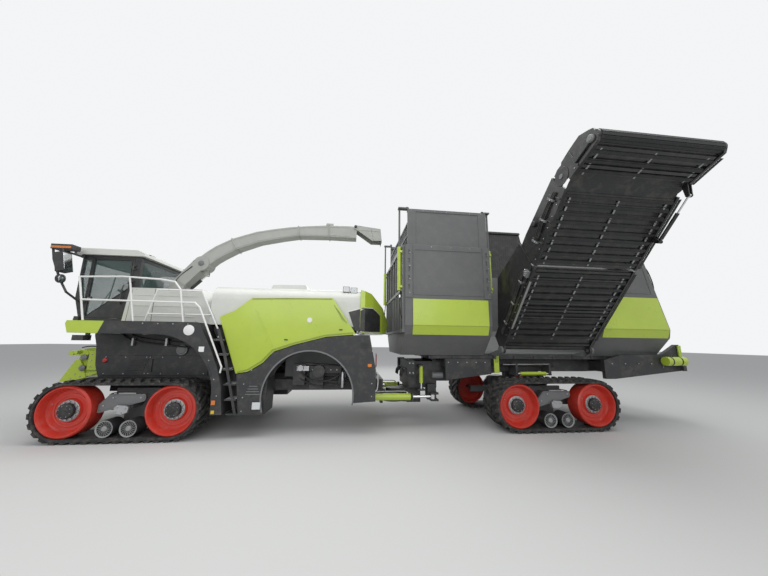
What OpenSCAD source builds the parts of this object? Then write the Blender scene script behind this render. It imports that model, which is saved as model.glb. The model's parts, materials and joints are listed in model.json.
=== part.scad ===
// Articulated forage harvester with a bunker half.
// +X points forward, +Y to the machine's left, +Z up. The origin is on the ground,
// on the centre plane, midway between the big wheels of the front track units.

/* [Track units] */
// Distance between the two big wheels of one track unit
unit_base = 1800; // [1700:10:1900]
// Distance between the front and the rear track units
unit_gap = 8660; // [8500:10:8800]
// Overall width over the belts
track_width = 3000; // [2940:10:3100]
// Width of one belt
belt_w = 635; // [600:5:650]
// Thickness of a belt without its lugs
belt_t = 45; // [40:1:50]
// Height of a belt lug
lug_h = 40; // [30:1:45]
// Lugs round one belt
lug_n = 40; // [32:1:44]
// Radius of a big wheel over its rubber
wheel_r = 455; // [440:1:465]
// Radius of the lip of a big wheel's rim
rim_r = 430; // [415:1:435]
// Radius of a small roller
roller_r = 150; // [130:1:160]
// Distance between the two small rollers
roller_gap = 400; // [350:5:440]

/* [Harvester] */
// Height of the platform beside the cab
deck_z = 2170; // [2120:5:2220]
// Half width of the cab
cab_hw = 880; // [840:5:900]
// Thickness of the cab's walls and door
cab_wall = 50; // [40:1:60]
// Underside of the cab roof
roof_z = 3600; // [3550:5:3650]
// Half width over the side panels
panel_hw = 1370; // [1340:5:1400]
// Thickness of a side panel
panel_t = 70; // [50:1:90]
// Radius of the empty rear wheel arch
arch_r = 880; // [840:5:900]
// Radius of the guard-rail tubes
rail_r = 17; // [14:1:20]

/* [Spout] */
// Radius of the turning ring
turret_r = 300; // [280:5:320]
// Width of the spout
spout_w = 330; // [300:5:360]
// Wall of the spout
spout_wall = 12; // [8:1:15]

/* [Pivot] */
// Distance of the steering pivot behind the front track units
pivot_back = 5250; // [5200:5:5300]
// Radius of the steering pivot pin
pivot_pin_r = 90; // [70:1:100]
// Radius of the casting's nose round the pin
nose_r = 290; // [270:5:300]
// Radius of a steering cylinder's barrel
steer_barrel_r = 75; // [60:1:80]
// Radius of a steering cylinder's rod
steer_rod_r = 32; // [25:1:38]

/* [Bunker] */
// Half width of the bunker walls
bin_hw = 1480; // [1470:1:1490]
// Thickness of the bunker walls
bin_wall = 40; // [35:1:45]
// Top of the fixed bunker walls
bin_top = 3990; // [3950:5:4030]
// Lower edge of the folded band
bin_low = 2010; // [1990:5:2040]
// Top of the front bunker when it is raised
raised_top = 4870; // [4830:5:4900]
// Travel of the raising walls
lift_travel = 870; // [800:5:900]
// Slope of the rear wall, degrees from upright
rear_lean = 15; // [12:0.5:17]

/* [Elevator] */
// Width of the elevator
elev_w = 2100; // [2050:5:2140]
// Height of the elevator's side walls
elev_h = 420; // [380:5:450]
// Angle of the elevator above level
elev_angle = 49; // [45:1:52]
// Length of the lower elevator section
elev_low = 1850; // [1800:5:1900]
// Length of the middle elevator section
elev_mid = 1550; // [1500:5:1600]
// Length of the end section
elev_tip = 760; // [770:5:820]
// Downward bend of the end section
tip_bend = 24; // [15:1:30]

/* [Hidden] */
// Running clearance round a pin
fit = 0.05;
// Gap between pieces that only lie against each other
seat = 0.3;
// Gap between sliding plates
slide_gap = 6;
// Overlap of a cutting shape past a face
eps = 1;
$fn = 48;

axle_z = wheel_r + belt_t + lug_h;
belt_y = track_width / 2 - belt_w / 2;
housing_hw = track_width / 2 - belt_w - 45;
housing_top = deck_z - 70;
rear_x = -unit_gap;
pivot_x = -pivot_back;
panel_in = panel_hw - panel_t;
front_wall_x = -5300;
front_bin_end = -7250;
rear_bin_start = -9850;
rear_wall_x = -11720;
band_front_top = 2770;
band_rear_top = 2950;
band_fold = 2200;
bin_in = bin_hw - bin_wall;
floor_z = 1560;
elev_x = -8550;
elev_side = 45;
elev_front = elev_x + elev_w / 2;
elev_back = elev_x - elev_w / 2;
base_y = 1370;
base_z = 1700;
start_s = 200;
hinge_b_n = 190;

// Small helpers

module both_sides() {
    for (s = [0, 1]) mirror([0, s, 0]) children();
}

// A block from its lowest to its highest corner
module block(a, b) {
    translate(a) cube([b[0] - a[0], b[1] - a[1], b[2] - a[2]]);
}

// A side view outline [x, z], made thick from y0 to y1
module side_plate(y0, y1) {
    translate([0, y1, 0]) rotate([90, 0, 0]) linear_extrude(y1 - y0) children();
}

// A round bar between two points
module bar(a, b, r, n = 20) {
    d = b - a;
    len = norm(d);
    translate(a)
        rotate([0, acos(d[2] / len), atan2(d[1], d[0])])
            cylinder(r = r, h = len, $fn = n);
}

// A bent twelve-sided tube through a list of points; the legs overlap at each bend
module tube(points, r) {
    last = len(points) - 1;
    for (i = [0 : last - 1]) {
        d = (points[i + 1] - points[i]) / norm(points[i + 1] - points[i]) * r * 0.5;
        bar(points[i] - (i == 0 ? 0 : 1) * d, points[i + 1] + (i == last - 1 ? 0 : 1) * d, r, 12);
    }
}

// A round disc along Y
module disc_y(x, z, r, y0, y1) {
    translate([x, y0, z]) rotate([-90, 0, 0]) cylinder(r = r, h = y1 - y0);
}

// A round disc along X
module disc_x(y, z, r, x0, x1) {
    translate([x0, y, z]) rotate([0, 90, 0]) cylinder(r = r, h = x1 - x0);
}

// Track units

// Side view of a loop round the two big wheels, at radius r
module loop_shape(r) {
    union() {
        for (s = [-1, 1]) translate([s * unit_base / 2, 0]) circle(r = r, $fn = 96);
        square([unit_base, 2 * r], center = true);
    }
}

// Centre of lug i along the loop, as [x, z, angle]
loop_r = wheel_r + belt_t;
loop_len = 2 * unit_base + 2 * PI * loop_r;
function lug_place(s) =
    s < unit_base ? [s - unit_base / 2, loop_r, 0] :
    s < unit_base + PI * loop_r ?
        let (a = (s - unit_base) / loop_r * 180 / PI)
        [unit_base / 2 + loop_r * sin(a), loop_r * cos(a), a] :
    s < 2 * unit_base + PI * loop_r ? [unit_base / 2 - (s - unit_base - PI * loop_r), -loop_r, 180] :
        let (a = 180 + (s - 2 * unit_base - PI * loop_r) / loop_r * 180 / PI)
        [-unit_base / 2 + loop_r * sin(a), loop_r * cos(a), a];

// Outline of half a belt's width, with its lugs, phase in lug pitches
module belt_outline(phase) {
    difference() {
        union() {
            loop_shape(loop_r);
            for (i = [0 : lug_n - 1]) {
                p = lug_place(((i + phase) % lug_n) * loop_len / lug_n);
                translate([p[0], p[1]]) rotate(-p[2])
                    polygon([[-48, -15], [48, -15], [34, lug_h], [-34, lug_h]]);
            }
        }
        loop_shape(wheel_r + seat);
    }
}

module belt(x, side) {
    color("#1c1d1f")
    translate([x, 0, axle_z]) {
        y0 = side > 0 ? belt_y - belt_w / 2 : -belt_y - belt_w / 2;
        side_plate(y0, y0 + belt_w / 2) belt_outline(0);
        side_plate(y0 + belt_w / 2, y0 + belt_w) belt_outline(0.5);
    }
}

// Half section of a big wheel, as [radius, distance outward from the inner face]
module wheel(x, y_in, y_out) {
    w = y_out - y_in;
    translate([x, y_in, axle_z]) rotate([-90, 0, 0])
        rotate_extrude($fn = 72)
            polygon([[60, w - 220], [330, w - 200], [385, w - 240], [400, w - 330], [wheel_r, w - 330],
                [wheel_r, w - 25], [rim_r, w], [rim_r - 16, w], [398, w - 40], [372, w - 130],
                [350, w - 160], [215, w - 165], [195, w - 130], [130, w - 125], [130, w - 90],
                [118, w - 82], [118, w - 50], [60, w - 45]]);
}

module wheels(x) {
    color("#b5201c")
    both_sides()
        for (s = [-1, 1])
            wheel(x + s * unit_base / 2, track_width / 2 - belt_w + 95, track_width / 2 - 20);
}

module rollers(x) {
    color("#6a6d70")
    both_sides()
        for (s = [-1, 1])
            translate([x + s * roller_gap / 2, track_width / 2 - belt_w + 105,
                       axle_z - wheel_r + roller_r + seat])
                rotate([-90, 0, 0])
                    rotate_extrude($fn = 40)
                        polygon([[30, 250], [roller_r - 30, 250], [roller_r - 30, 180], [roller_r, 180],
                            [roller_r, 470], [roller_r - 8, 470], [roller_r - 14, 440], [60, 430], [50, 460],
                            [30, 460]]);
}

// Frame of one track unit: an inboard beam with wheel and roller axles, and the outer arm
module track_frames(x) {
    y_in = track_width / 2 - belt_w + 8;
    roller_z = axle_z - wheel_r + roller_r + seat;
    arm = track_width / 2 - 210;
    color("#4a4d50")
    both_sides()
        union() {
            block([x - unit_base / 2 - 90, y_in, axle_z - 85], [x + unit_base / 2 + 90, y_in + 60, axle_z + 85]);
            for (s = [-1, 1]) disc_y(x + s * unit_base / 2, axle_z, 59, y_in, track_width / 2 - 60);
            for (s = [-1, 1]) disc_y(x + s * roller_gap / 2, roller_z, 29, y_in, track_width / 2 - 75);
            block([x - roller_gap / 2 - 40, y_in, roller_z - 40], [x + roller_gap / 2 + 40, y_in + 60, axle_z]);
            // Inner plate between the wheels
            block([x - 400, y_in + 59, 470], [x + 400, y_in + 120, 880]);
            // Cross tube, cross bar and the outer arm with its casting
            disc_y(x + 120, 700, 90, y_in, arm + 1);
            disc_y(x - 60, 590, 60, y_in, arm + 1);
            side_plate(arm, arm + 60)
                translate([x, 0])
                    polygon([[-370, 745], [-350, 820], [255, 820], [420, 640], [430, 500], [400, 490],
                        [180, 555], [-40, 605], [-345, 690]]);
            side_plate(arm + 60, arm + 110)
                translate([x, 0])
                    polygon([[-120, 500], [-130, 590], [-90, 625], [70, 640], [125, 590], [105, 480], [-20, 460]]);
        }
}

module axle_tube(x) {
    color("#2b2d2f")
    union() {
        both_sides() block([x - 150, 480, 640], [x + 150, track_width / 2 - belt_w + 8 - seat, frame_low - seat]);
        block([x - 170, -500, 620], [x + 170, 500, 740]);
    }
}

module front_axle() { axle_tube(0); }
module rear_axle() { axle_tube(rear_x); }
module front_track_frames() { track_frames(0); }
module rear_track_frames() { track_frames(rear_x); }
module front_wheels() { wheels(0); }
module rear_wheels() { wheels(rear_x); }
module front_rollers() { rollers(0); }
module rear_rollers() { rollers(rear_x); }
module front_belt_left() { belt(0, 1); }
module front_belt_right() { belt(0, -1); }
module rear_belt_left() { belt(rear_x, 1); }
module rear_belt_right() { belt(rear_x, -1); }

// Harvester frame and housings

rail_in = 560;
rail_out = 680;
frame_low = 770;
frame_top = 1000;

module main_frame() {
    color("#2b2d2f")
    union() {
        both_sides() block([-4930, rail_in, frame_low], [760, rail_out, frame_top]);
        for (x = [-4930, -3300, -1700, 560])
            block([x, -rail_in - eps, frame_low + 30], [x + 160, rail_in + eps, frame_top - 20]);
        // End plate that the pivot casting is bolted to
        block([-4930, -700, cast_low - 10], [-4870, 700, frame_top]);
        // Lugs for the steering cylinders
        both_sides() {
            block([-4480, rail_in, steer_z - 90], [-4330, rail_out, frame_low + eps]);
            difference() {
                block([-4480, rail_out - 10, steer_z - 90], [-4330, steer_y + 70, steer_z + 90]);
                block([-4600, steer_y - 85, steer_z - 51], [-4370, steer_y + 90, steer_z + 51]);
            }
        }
        both_sides() translate([steer_front, steer_y, steer_z - 60]) cylinder(r = steer_pin_r, h = 120);
        // Engine mounts
        both_sides() block([-3900, 400, frame_top - 21], [-3100, rail_in + 60, 1040 - seat]);
    }
}

module drum_housing() {
    color("#26282a")
    union() {
        side_plate(-housing_hw, housing_hw)
            polygon([[900, frame_top + seat], [1010, 1300], [1060, 1700], [1120, 1900], [1120, housing_top],
                [-1250, housing_top], [-1500, 1500], [-1500, frame_top + seat]]);
        // Raised plates and stiffeners on the side walls
        both_sides()
            side_plate(housing_hw - eps, housing_hw + 18)
                difference() {
                    polygon([[860, 1100], [960, 1330], [900, 1500], [-1180, 1500], [-1180, 1100]]);
                    translate([-230, 1170]) square([160, 260]);
                }
    }
}

module intake_housing() {
    color("#a4c61c")
    union() {
        difference() {
            side_plate(-520, 520)
                polygon([[930.5, 1080], [1010.8, 1300], [1051, 1620], [1330, 1640], [1520, 1610], [1560, 1450],
                    [1660, 1200], [1780, 960], [1500, 960], [1300, 1060]]);
            // Throat
            block([1135, -400, 1130], [1900, 400, 1540]);
            // Bores for the feed rollers
            for (p = roller_places)
                translate([p[0], -600, p[1]]) rotate([-90, 0, 0]) cylinder(r = feed_shaft_r + fit, h = 1200);
        }
        // Side castings: rear plate, upper arm with its head, and lower wedge
        both_sides() {
            side_plate(519, 590)
                polygon([[1060, 1180], [1075, 1530], [1120, 1575], [1400, 1585], [1340, 1500], [1340, 1180]]);
            side_plate(519, 600)
                polygon([[1330, 1500], [1390, 1590], [1500, 1605], [1640, 1570], [1640, 1490], [1500, 1480]]);
            disc_y(1650, 1530, 48, 519, 640);
            side_plate(519, 575)
                polygon([[1340, 1040], [1500, 1390], [1580, 1400], [1700, 1190], [1830, 940], [1500, 940]]);
            side_plate(519, 560)
                polygon([[1020, 1150], [1040, 1180], [1420, 1110], [1420, 1050], [1300, 1060]]);
        }
        // Trunnions that the header hangs on
        both_sides() disc_y(1500, 1550, 35, 519, 720);
        // Lip under the throat
        block([1560, -520, 940], [1780, 520, 985]);
    }
}

feed_shaft_r = 30;
roller_places = [[1420, 1440], [1420, 1225]];

module feed_roller(p) {
    color("#8d9093")
    translate([p[0], 0, p[1]]) rotate([-90, 0, 0])
        union() {
            translate([0, 0, -515]) cylinder(r = feed_shaft_r, h = 1030);
            translate([0, 0, -380]) cylinder(r = 62, h = 760);
            for (i = [0 : 7]) rotate(i * 45) translate([55, -8, -380]) cube([30, 16, 760]);
        }
}

module feed_roller_upper() { feed_roller(roller_places[0]); }
module feed_roller_lower() { feed_roller(roller_places[1]); }

module engine() {
    color("#3a3c3e")
    block([-4200, -520, 1040], [-2700, 520, 2150]);
}

// Cab

// Side view of the cab, as [x, z]; grow moves every edge outward
module cab_side(grow = 0) {
    polygon([[430 - grow, deck_z + 30 - grow], [430 - grow, roof_z + grow], [1790 + grow, roof_z + grow],
        [1700 + grow, 3050], [1570 + grow, 2620], [1440 + grow, deck_z + 30 - grow]]);
}

// Plan of the cab with its curved front
module cab_plan(grow = 0) {
    intersection() {
        translate([0, -cab_hw - grow]) square([2200, 2 * (cab_hw + grow)]);
        translate([-200, 0]) circle(r = 1990 + grow, $fn = 120);
    }
}

module cab_shell() {
    difference() {
        intersection() {
            side_plate(-cab_hw, cab_hw) cab_side();
            linear_extrude(5000) cab_plan();
        }
        intersection() {
            side_plate(-cab_hw, cab_hw) cab_side(-cab_wall);
            linear_extrude(5000) cab_plan(-cab_wall);
        }
    }
}

door_back = 560;
door_front = 1370;
door_low = deck_z + 90;
door_top = roof_z - 60;

module door_region(gap) {
    block([door_back - gap, cab_hw - cab_wall - 5, door_low - gap], [door_front + gap, cab_hw + 5, door_top + gap]);
}

// Hinge line of the door, and the heights of its two hinges
door_hinge = [door_back - 3, cab_hw + 22];
hinge_places = [2960, 3300];

// Side view of a corner window, with its edges moved in by gap
module corner_window(gap) {
    polygon([[door_front + 35 + gap, deck_z + 170 + gap], [1415 - gap, deck_z + 170 + gap], [1445 - gap, 2620],
        [1535 - gap, 3100], [1535 - gap, roof_z - 90 - gap], [door_front + 35 + gap, roof_z - 90 - gap]]);
}

module cab_body() {
    color("#2a2c2e")
    union() {
        difference() {
            cab_shell();
            door_region(6);
            // Front window
            block([1300, -cab_hw + 90, deck_z + 130], [2200, cab_hw - 90, roof_z - 70]);
            // Right side window
            block([door_back + 50, -cab_hw - 5, deck_z + 200], [door_front - 20, -cab_hw + cab_wall + 5, door_top - 20]);
            // Rear window
            block([380, -cab_hw + 80, 2900], [520, cab_hw - 80, roof_z - 80]);
            // Corner windows behind the windscreen pillars
            both_sides() side_plate(cab_hw - 70, cab_hw + 5) corner_window(0);
        }
        // Feet on the drum housing
        both_sides()
            for (x = [470, 780]) block([x, 560, housing_top + seat], [x + 90, 660, deck_z + 40]);
        for (z = hinge_places) {
            translate([door_hinge[0], door_hinge[1], z]) cylinder(r = 10, h = 110);
            for (dz = [0, 80]) {
                translate([door_hinge[0], door_hinge[1], z + dz]) cylinder(r = 20, h = 30);
                block([door_back - 60, cab_hw - 5, z + dz], [door_hinge[0] - 8, door_hinge[1] + 8, z + dz + 30]);
            }
        }
    }
}

module cab_door() {
    color("#2a2c2e")
    difference() {
        union() {
            difference() {
                intersection() {
                    cab_shell();
                    door_region(0);
                }
                side_plate(cab_hw - 80, cab_hw + 10)
                    polygon([[door_back + 40, 2900], [door_back + 40, door_top - 30], [door_front - 30, door_top - 30],
                        [door_front - 30, door_low + 40], [door_front - 60, door_low + 40]]);
            }
            for (z = hinge_places) {
                translate([door_hinge[0], door_hinge[1], z + 30 + seat]) cylinder(r = 20, h = 50 - 2 * seat);
                block([door_hinge[0] + 8, cab_hw - 5, z + 30 + seat], [door_back + 55, door_hinge[1] + 8, z + 80 - seat]);
            }
        }
        for (z = hinge_places)
            translate([door_hinge[0], door_hinge[1], z - 50]) cylinder(r = 10 + fit, h = 200);
    }
}

module cab_glass() {
    color("#7fa8a5")
    union() {
        intersection() {
            difference() {
                intersection() {
                    side_plate(-cab_hw + 90 + seat, cab_hw - 90 - seat) cab_side(-12);
                    linear_extrude(5000) cab_plan(-12);
                }
                intersection() {
                    side_plate(-cab_hw, cab_hw) cab_side(-20);
                    linear_extrude(5000) cab_plan(-20);
                }
            }
            block([1300, -cab_hw, deck_z + 130 + seat], [2200, cab_hw, roof_z - 70 - seat]);
        }
    }
    color("#7fa8a5")
    block([door_back + 50 + seat, -cab_hw + 12, deck_z + 200 + seat],
          [door_front - 20 - seat, -cab_hw + 20, door_top - 20 - seat]);
    color("#7fa8a5")
    both_sides() side_plate(cab_hw - 20, cab_hw - 12) corner_window(seat);
    color("#7fa8a5")
    block([442, -cab_hw + 80 + seat, 2900 + seat], [450, cab_hw - 80 - seat, roof_z - 80 - seat]);
}

module cab_roof() {
    color("#c9cbc8")
    intersection() {
        side_plate(-1000, 1000)
            polygon([[330, roof_z + seat], [340, roof_z + 60], [620, roof_z + 190], [900, roof_z + 320],
                [1450, roof_z + 320], [1800, roof_z + 200], [1880, roof_z + 100], [1840, roof_z + seat]]);
        linear_extrude(5000)
            intersection() {
                translate([300, -950]) square([1800, 1900]);
                translate([-400, 0]) circle(r = 2270, $fn = 120);
            }
        rotate([90, 0, 90]) linear_extrude(3000)
            polygon([[-970, roof_z], [-970, roof_z + 120], [-900, roof_z + 155], [-500, roof_z + 260],
                [0, roof_z + 300], [500, roof_z + 260], [900, roof_z + 155], [970, roof_z + 120], [970, roof_z]]);
    }
}

module operator_station() {
    color("#33363a")
    union() {
        block([620, -260, deck_z + 80 + seat], [1180, 260, deck_z + 330]);
        side_plate(-250, 250)
            polygon([[640, deck_z + 320], [1150, deck_z + 320], [1150, deck_z + 470], [820, deck_z + 470],
                [700, 3250], [600, 3250], [640, deck_z + 470]]);
        // Steering column and wheel
        block([1270, -60, deck_z + 80 + seat], [1380, 60, deck_z + 100]);
        bar([1325, 0, deck_z + 95], [1225, 0, 2900], 45);
        translate([1220, 0, 2905]) rotate([0, -25, 0]) rotate_extrude($fn = 40) translate([190, 0]) circle(r = 16, $fn = 14);
        translate([1220, 0, 2905]) rotate([0, -25, 0]) block([-190, -18, -10], [190, 18, 8]);
        // Armrest with controls
        block([760, -430, 2600], [1180, -270, 2680]);
        block([800, -400, deck_z + 80 + seat], [900, -300, 2610]);
    }
}

module mirrors() {
    color("#1f2022")
    both_sides()
        union() {
            tube([[1560, 900, 3540], [1620, 1010, 3560], [1850, 1250, 3640], [1790, 1250, 3390], [1620, 1250, 3010],
                [1490, 1200, 2740], [1430, 920, 2560]], 20);
            block([1415, cab_hw + seat, 2525], [1450, 925, 2600]);
            block([1530, cab_hw + seat, 3525], [1590, 925, 3590]);
            block([1480, 1090, 3600], [1860, 1290, 3700]);
            translate([1540, 1320, 3310]) rotate([0, 14, 0]) block([-75, -100, -190], [75, 100, 200]);
            bar([1590, 1300, 3480], [1640, 1270, 3620], 22, 12);
            translate([1560, 1290, 2990]) rotate([0, 90, 0]) cylinder(r = 85, h = 50, center = true);
            bar([1560, 1275, 2990], [1620, 1250, 3010], 15, 12);
        }
}

// Platforms, fenders and rails

fender_in = housing_hw + 50;
fender_out = track_width / 2;
arc_x = -450;
arc_z = 800;
arc_r = 1130;

// Side view of the fender skirt
module fender_shape() {
    difference() {
        polygon([[560, 1940], [480, deck_z], [-1200, deck_z], [-1300, 2000], [-1470, 1680], [-1630, 1320],
            [-1740, 970], [-1800, 460], [-1590, 460], [-1590, 700], [-450, 1940]]);
        translate([arc_x, arc_z]) circle(r = arc_r, $fn = 96);
        translate([arc_x, 400]) square([arc_r, 1530]);
        translate([-1580, 300]) square([1200, 500]);
    }
}

module fenders() {
    color("#2e3032")
    both_sides()
        union() {
            side_plate(fender_out - 45, fender_out) fender_shape();
            // Top of the platform and the mudguard behind the track
            side_plate(fender_in, fender_out - 44)
                intersection() {
                    fender_shape();
                    union() {
                        translate([-1200, deck_z - 60]) square([1900, 61]);
                        difference() {
                            translate([-1800, 460]) square([1400, 1711]);
                            translate([arc_x, arc_z]) circle(r = arc_r, $fn = 96);
                            translate([arc_x - 10, 1800]) square([600, deck_z - 60 - 1800]);
                        }
                    }
                }
        }
}

module fender_tips() {
    color("#a4c61c")
    both_sides()
        side_plate(fender_in, fender_out)
            polygon([[560 + seat, 1940], [480 + seat, deck_z], [1110, deck_z], [1130, 2110], [1070, 1940]]);
}

rail_y = fender_out - 30;

// Rail on the inner side of the ladder, tied to the outer one at the platform
module ladder_rail() {
    y = 1270;
    tube([[-70, y, deck_z + 4.3], [-230, y, 2835], [-1080, y, 2825], [-1530, y, 1940], [-1495, y, 1890]], rail_r);
    tube([[-110, y, 2340], [-1305, y, 2340]], rail_r * 0.8);
    bar([-800, y, 2340], [-800, rail_y, 2560], rail_r * 0.8, 12);
}

module guard_rails() {
    color("#e8e8e6")
    union() {
        tube([[870, rail_y, deck_z + 4.3], [1070, rail_y, 3010], [310, rail_y, 3040], [-380, rail_y, 3010], [-650, rail_y, 2970],
            [-770, rail_y, 2820], [-900, rail_y, deck_z + 4.3]], rail_r);
        tube([[950, rail_y, 2570], [-1070, rail_y, 2560], [-1170, rail_y, 2470], [-1700, rail_y, 1330],
            [-1684, rail_y, 1215]], rail_r);
        bar([0, rail_y, deck_z + 4.3], [190, rail_y, 3040], rail_r * 0.9, 12);
        ladder_rail();
    }
    color("#e8e8e6")
    mirror([0, 1, 0])
        union() {
            tube([[870, rail_y, deck_z + 4.3], [1070, rail_y, 3010], [-650, rail_y, 2970], [-770, rail_y, 2820],
                [-900, rail_y, deck_z + 4.3]], rail_r);
            tube([[950, rail_y, 2570], [-830, rail_y, 2560]], rail_r);
            bar([0, rail_y, deck_z + 4.3], [190, rail_y, 3040], rail_r * 0.9, 12);
        }
}

// Treads of the ladder, as [back edge x, front edge x, z]
treads = [[-2015, -1800, 700], [-1980, -1755, 980], [-1880, -1670, 1260], [-1760, -1545, 1540], [-1650, -1430, 1820]];

module ladder() {
    color("#242628")
    union() {
        for (t = treads) block([t[0], 1120, t[2]], [t[1], 1440, t[2] + 30]);
        for (y = [1120, 1415])
            side_plate(y, y + 25)
                polygon([[-2040, 460 + seat], [-1990, 460 + seat], [-1683, 1600], [-1520, 2060], [-1570, 2060],
                    [-1733, 1600]]);
    }
}

module side_covers() {
    color("#b9bab4")
    union() {
        both_sides()
            union() {
                side_plate(400, 1010)
                    polygon([[400, deck_z + seat], [400, 2900], [-950, 2900], [-1270, 2300], [-1270, deck_z + seat]]);
                side_plate(cab_hw + 15, 1010)
                    polygon([[399, deck_z + seat], [399, 2900], [470, 2900], [540, deck_z + seat]]);
            }
        block([-1270, -401, housing_top + seat], [380, 401, 2900]);
    }
}

// Hood and body behind the cab

hood_front = -1280;
hood_back = -4350;

// Cross-section of the hood [y, z]
module hood_section() {
    intersection() {
        translate([-1240, 2150]) square([2480, 830]);
        union() {
            translate([-930, 2150]) square([1860, 830]);
            translate([-1240, 2150]) square([2480, 520]);
            for (s = [-1, 1]) translate([s * 930, 2670]) circle(r = 310, $fn = 64);
        }
    }
}

module hood_top() {
    color("#c3c5c1")
    union() {
        translate([hood_back, 0, 0]) rotate([90, 0, 90]) linear_extrude(hood_front - hood_back) hood_section();
        side_plate(-500, 500) polygon([[-2200, 2970], [-2280, 3150], [-3040, 3170], [-3130, 2970]]);
        translate([hood_front - eps, 0, 0]) rotate([90, 0, 90]) linear_extrude(8) hood_section();
        // Hinge pins of the side panels, each with its two lugs
        both_sides()
            for (x = panel_hinges) {
                disc_x(panel_axis[0], panel_axis[1], 10, x - 60, x + 60);
                for (dx = [-60, 32]) {
                    disc_x(panel_axis[0], panel_axis[1], 18, x + dx, x + dx + 28);
                    block([x + dx, 1200, panel_axis[1] - 18], [x + dx + 28, panel_axis[0], panel_axis[1] + 18]);
                }
            }
    }
}

// Places along X of a side panel's hinges, and their axis as [y, z]
panel_hinges = [-2350, -2950, -3600];
panel_axis = [1268, 2688];

// Side view of a lime side panel
module panel_shape() {
    polygon([[-1500, 2300], [-1800, 2440], [-2110, 2700], [-2830, 2725], [-3760, 2745], [-4270, 1990],
        [-3650, 1930], [-3010, 1760], [-2620, 1620], [-2430, 1400], [-2160, 1230], [-1930, 1190]]);
}

module side_panel() {
    color("#a4c61c")
    difference() {
        union() {
            difference() {
                side_plate(panel_in, panel_hw) panel_shape();
                // Front part sloping inward
                translate([-2150, panel_hw, 1000]) rotate([0, 0, -4]) cube([900, 200, 2000]);
            }
            // Knuckles of its hinge
            for (x = panel_hinges) {
                disc_x(panel_axis[0], panel_axis[1], 18, x - 31, x + 31);
                block([x - 31, panel_axis[0], panel_axis[1] - 18], [x + 31, panel_in + eps, panel_axis[1] + 10]);
            }
        }
        disc_x(panel_axis[0], panel_axis[1], 10 + fit, -4500, -1500);
    }
}

module left_side_panel() { side_panel(); }
module right_side_panel() { mirror([0, 1, 0]) side_panel(); }

// Tapered tail of the hood
module tail_hood() {
    color("#a4c61c")
    intersection() {
        side_plate(-1300, 1300)
            polygon([[hood_back - seat, 2150], [hood_back - seat, 2960], [-4600, 2900], [-4900, 2620], [-5060, 2300], [-5000, 2020],
                [-4400, 2020]]);
        linear_extrude(5000)
            polygon([[-4000, 1290], [-4450, 1270], [-4640, 1080], [-4880, 760], [-5080, 380], [-5080, -380],
                [-4880, -760], [-4640, -1080], [-4450, -1270], [-4000, -1290]]);
    }
}

lower_out = 1400;

// Side view of the dark lower body with its empty arch
module lower_shape() {
    difference() {
        polygon([[-1960, 1180], [-2170, 1215], [-2440, 1385], [-2630, 1605], [-3010, 1745], [-3650, 1915],
            [-4270, 1975], [-4560, 1975], [-4700, 1280], [-4700, 650], [-4200, 620], [-2560, 430], [-2060, 430]]);
        translate([-3350, 750]) circle(r = arch_r, $fn = 96);
        translate([-4230, 300]) square([1700, 450]);
    }
}

module lower_body() {
    color("#3d4043")
    both_sides()
        union() {
            side_plate(lower_out - 60, lower_out) lower_shape();
            // Tank in front of the arch
            block([-2540, 760, 430], [-2060, lower_out - 59, 1150]);
            block([-2540, rail_out + seat, 800], [-2300, 761, 960]);
            // Inner wall of the way up, behind the mudguard
            side_plate(880, 1095)
                polygon([[-2061, 430], [-1840, 430], [-1780, 970], [-1670, 1320], [-1510, 1680], [-1330, 2010],
                    [-1300, 2120], [-1900, 2120], [-2061, 1600]]);
            // Arch liner
            side_plate(900, lower_out - 59)
                difference() {
                    translate([-3350, 750]) circle(r = arch_r + 50, $fn = 96);
                    translate([-3350, 750]) circle(r = arch_r, $fn = 96);
                    translate([-4500, -400]) square([2300, 1150]);
                }
            // Sill step in front of the tank
            block([-2060 - eps, 1094, 430], [-1830, lower_out, 460]);
            // Rear corner box
            block([-4700, rail_out + seat, 800], [-4250, 1230, 1240]);
            block([-4700, 1100, 650], [-4250, lower_out - 59, 1240]);
        }
}

module arch_machinery() {
    color("#9a9d9f")
    both_sides()
        union() {
            disc_y(-3500, 1200, 130, 560, 1000);
            block([-3950, 600, 1150], [-3300, 860, 1300]);
            bar([-3990, 830, 1500], [-3940, 830, 900], 36);
            bar([-3900, 800, 1300], [-3200, 850, 1350], 30);
            block([-3600, rail_out + seat, 820], [-3300, 890, 1180]);
            block([-3200, 700, 900], [-2950, 880, 1350]);
            bar([-3250, 780, 1000], [-3900, 780, 950], 35);
            block([-3060, rail_out + seat, 860], [-3000, 720, 960]);
        }
}

// Steering pivot

cast_low = 490;
cast_top = 650;

module pivot_casting() {
    color("#2b2d2f")
    difference() {
        union() {
            translate([pivot_x, 0, cast_low]) cylinder(r = nose_r, h = cast_top - cast_low, $fn = 96);
            block([pivot_x, -nose_r, cast_low], [-4930 - seat, nose_r, cast_top]);
            block([-5010, -420, cast_low], [-4930 - seat, 420, cast_top + 90]);
        }
        translate([pivot_x, 0, 0]) cylinder(r = pivot_pin_r + fit, h = 3000, $fn = 96);
    }
}

fork_gap = 8;
hitch_z = 1290;
hitch_r = 16;

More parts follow.
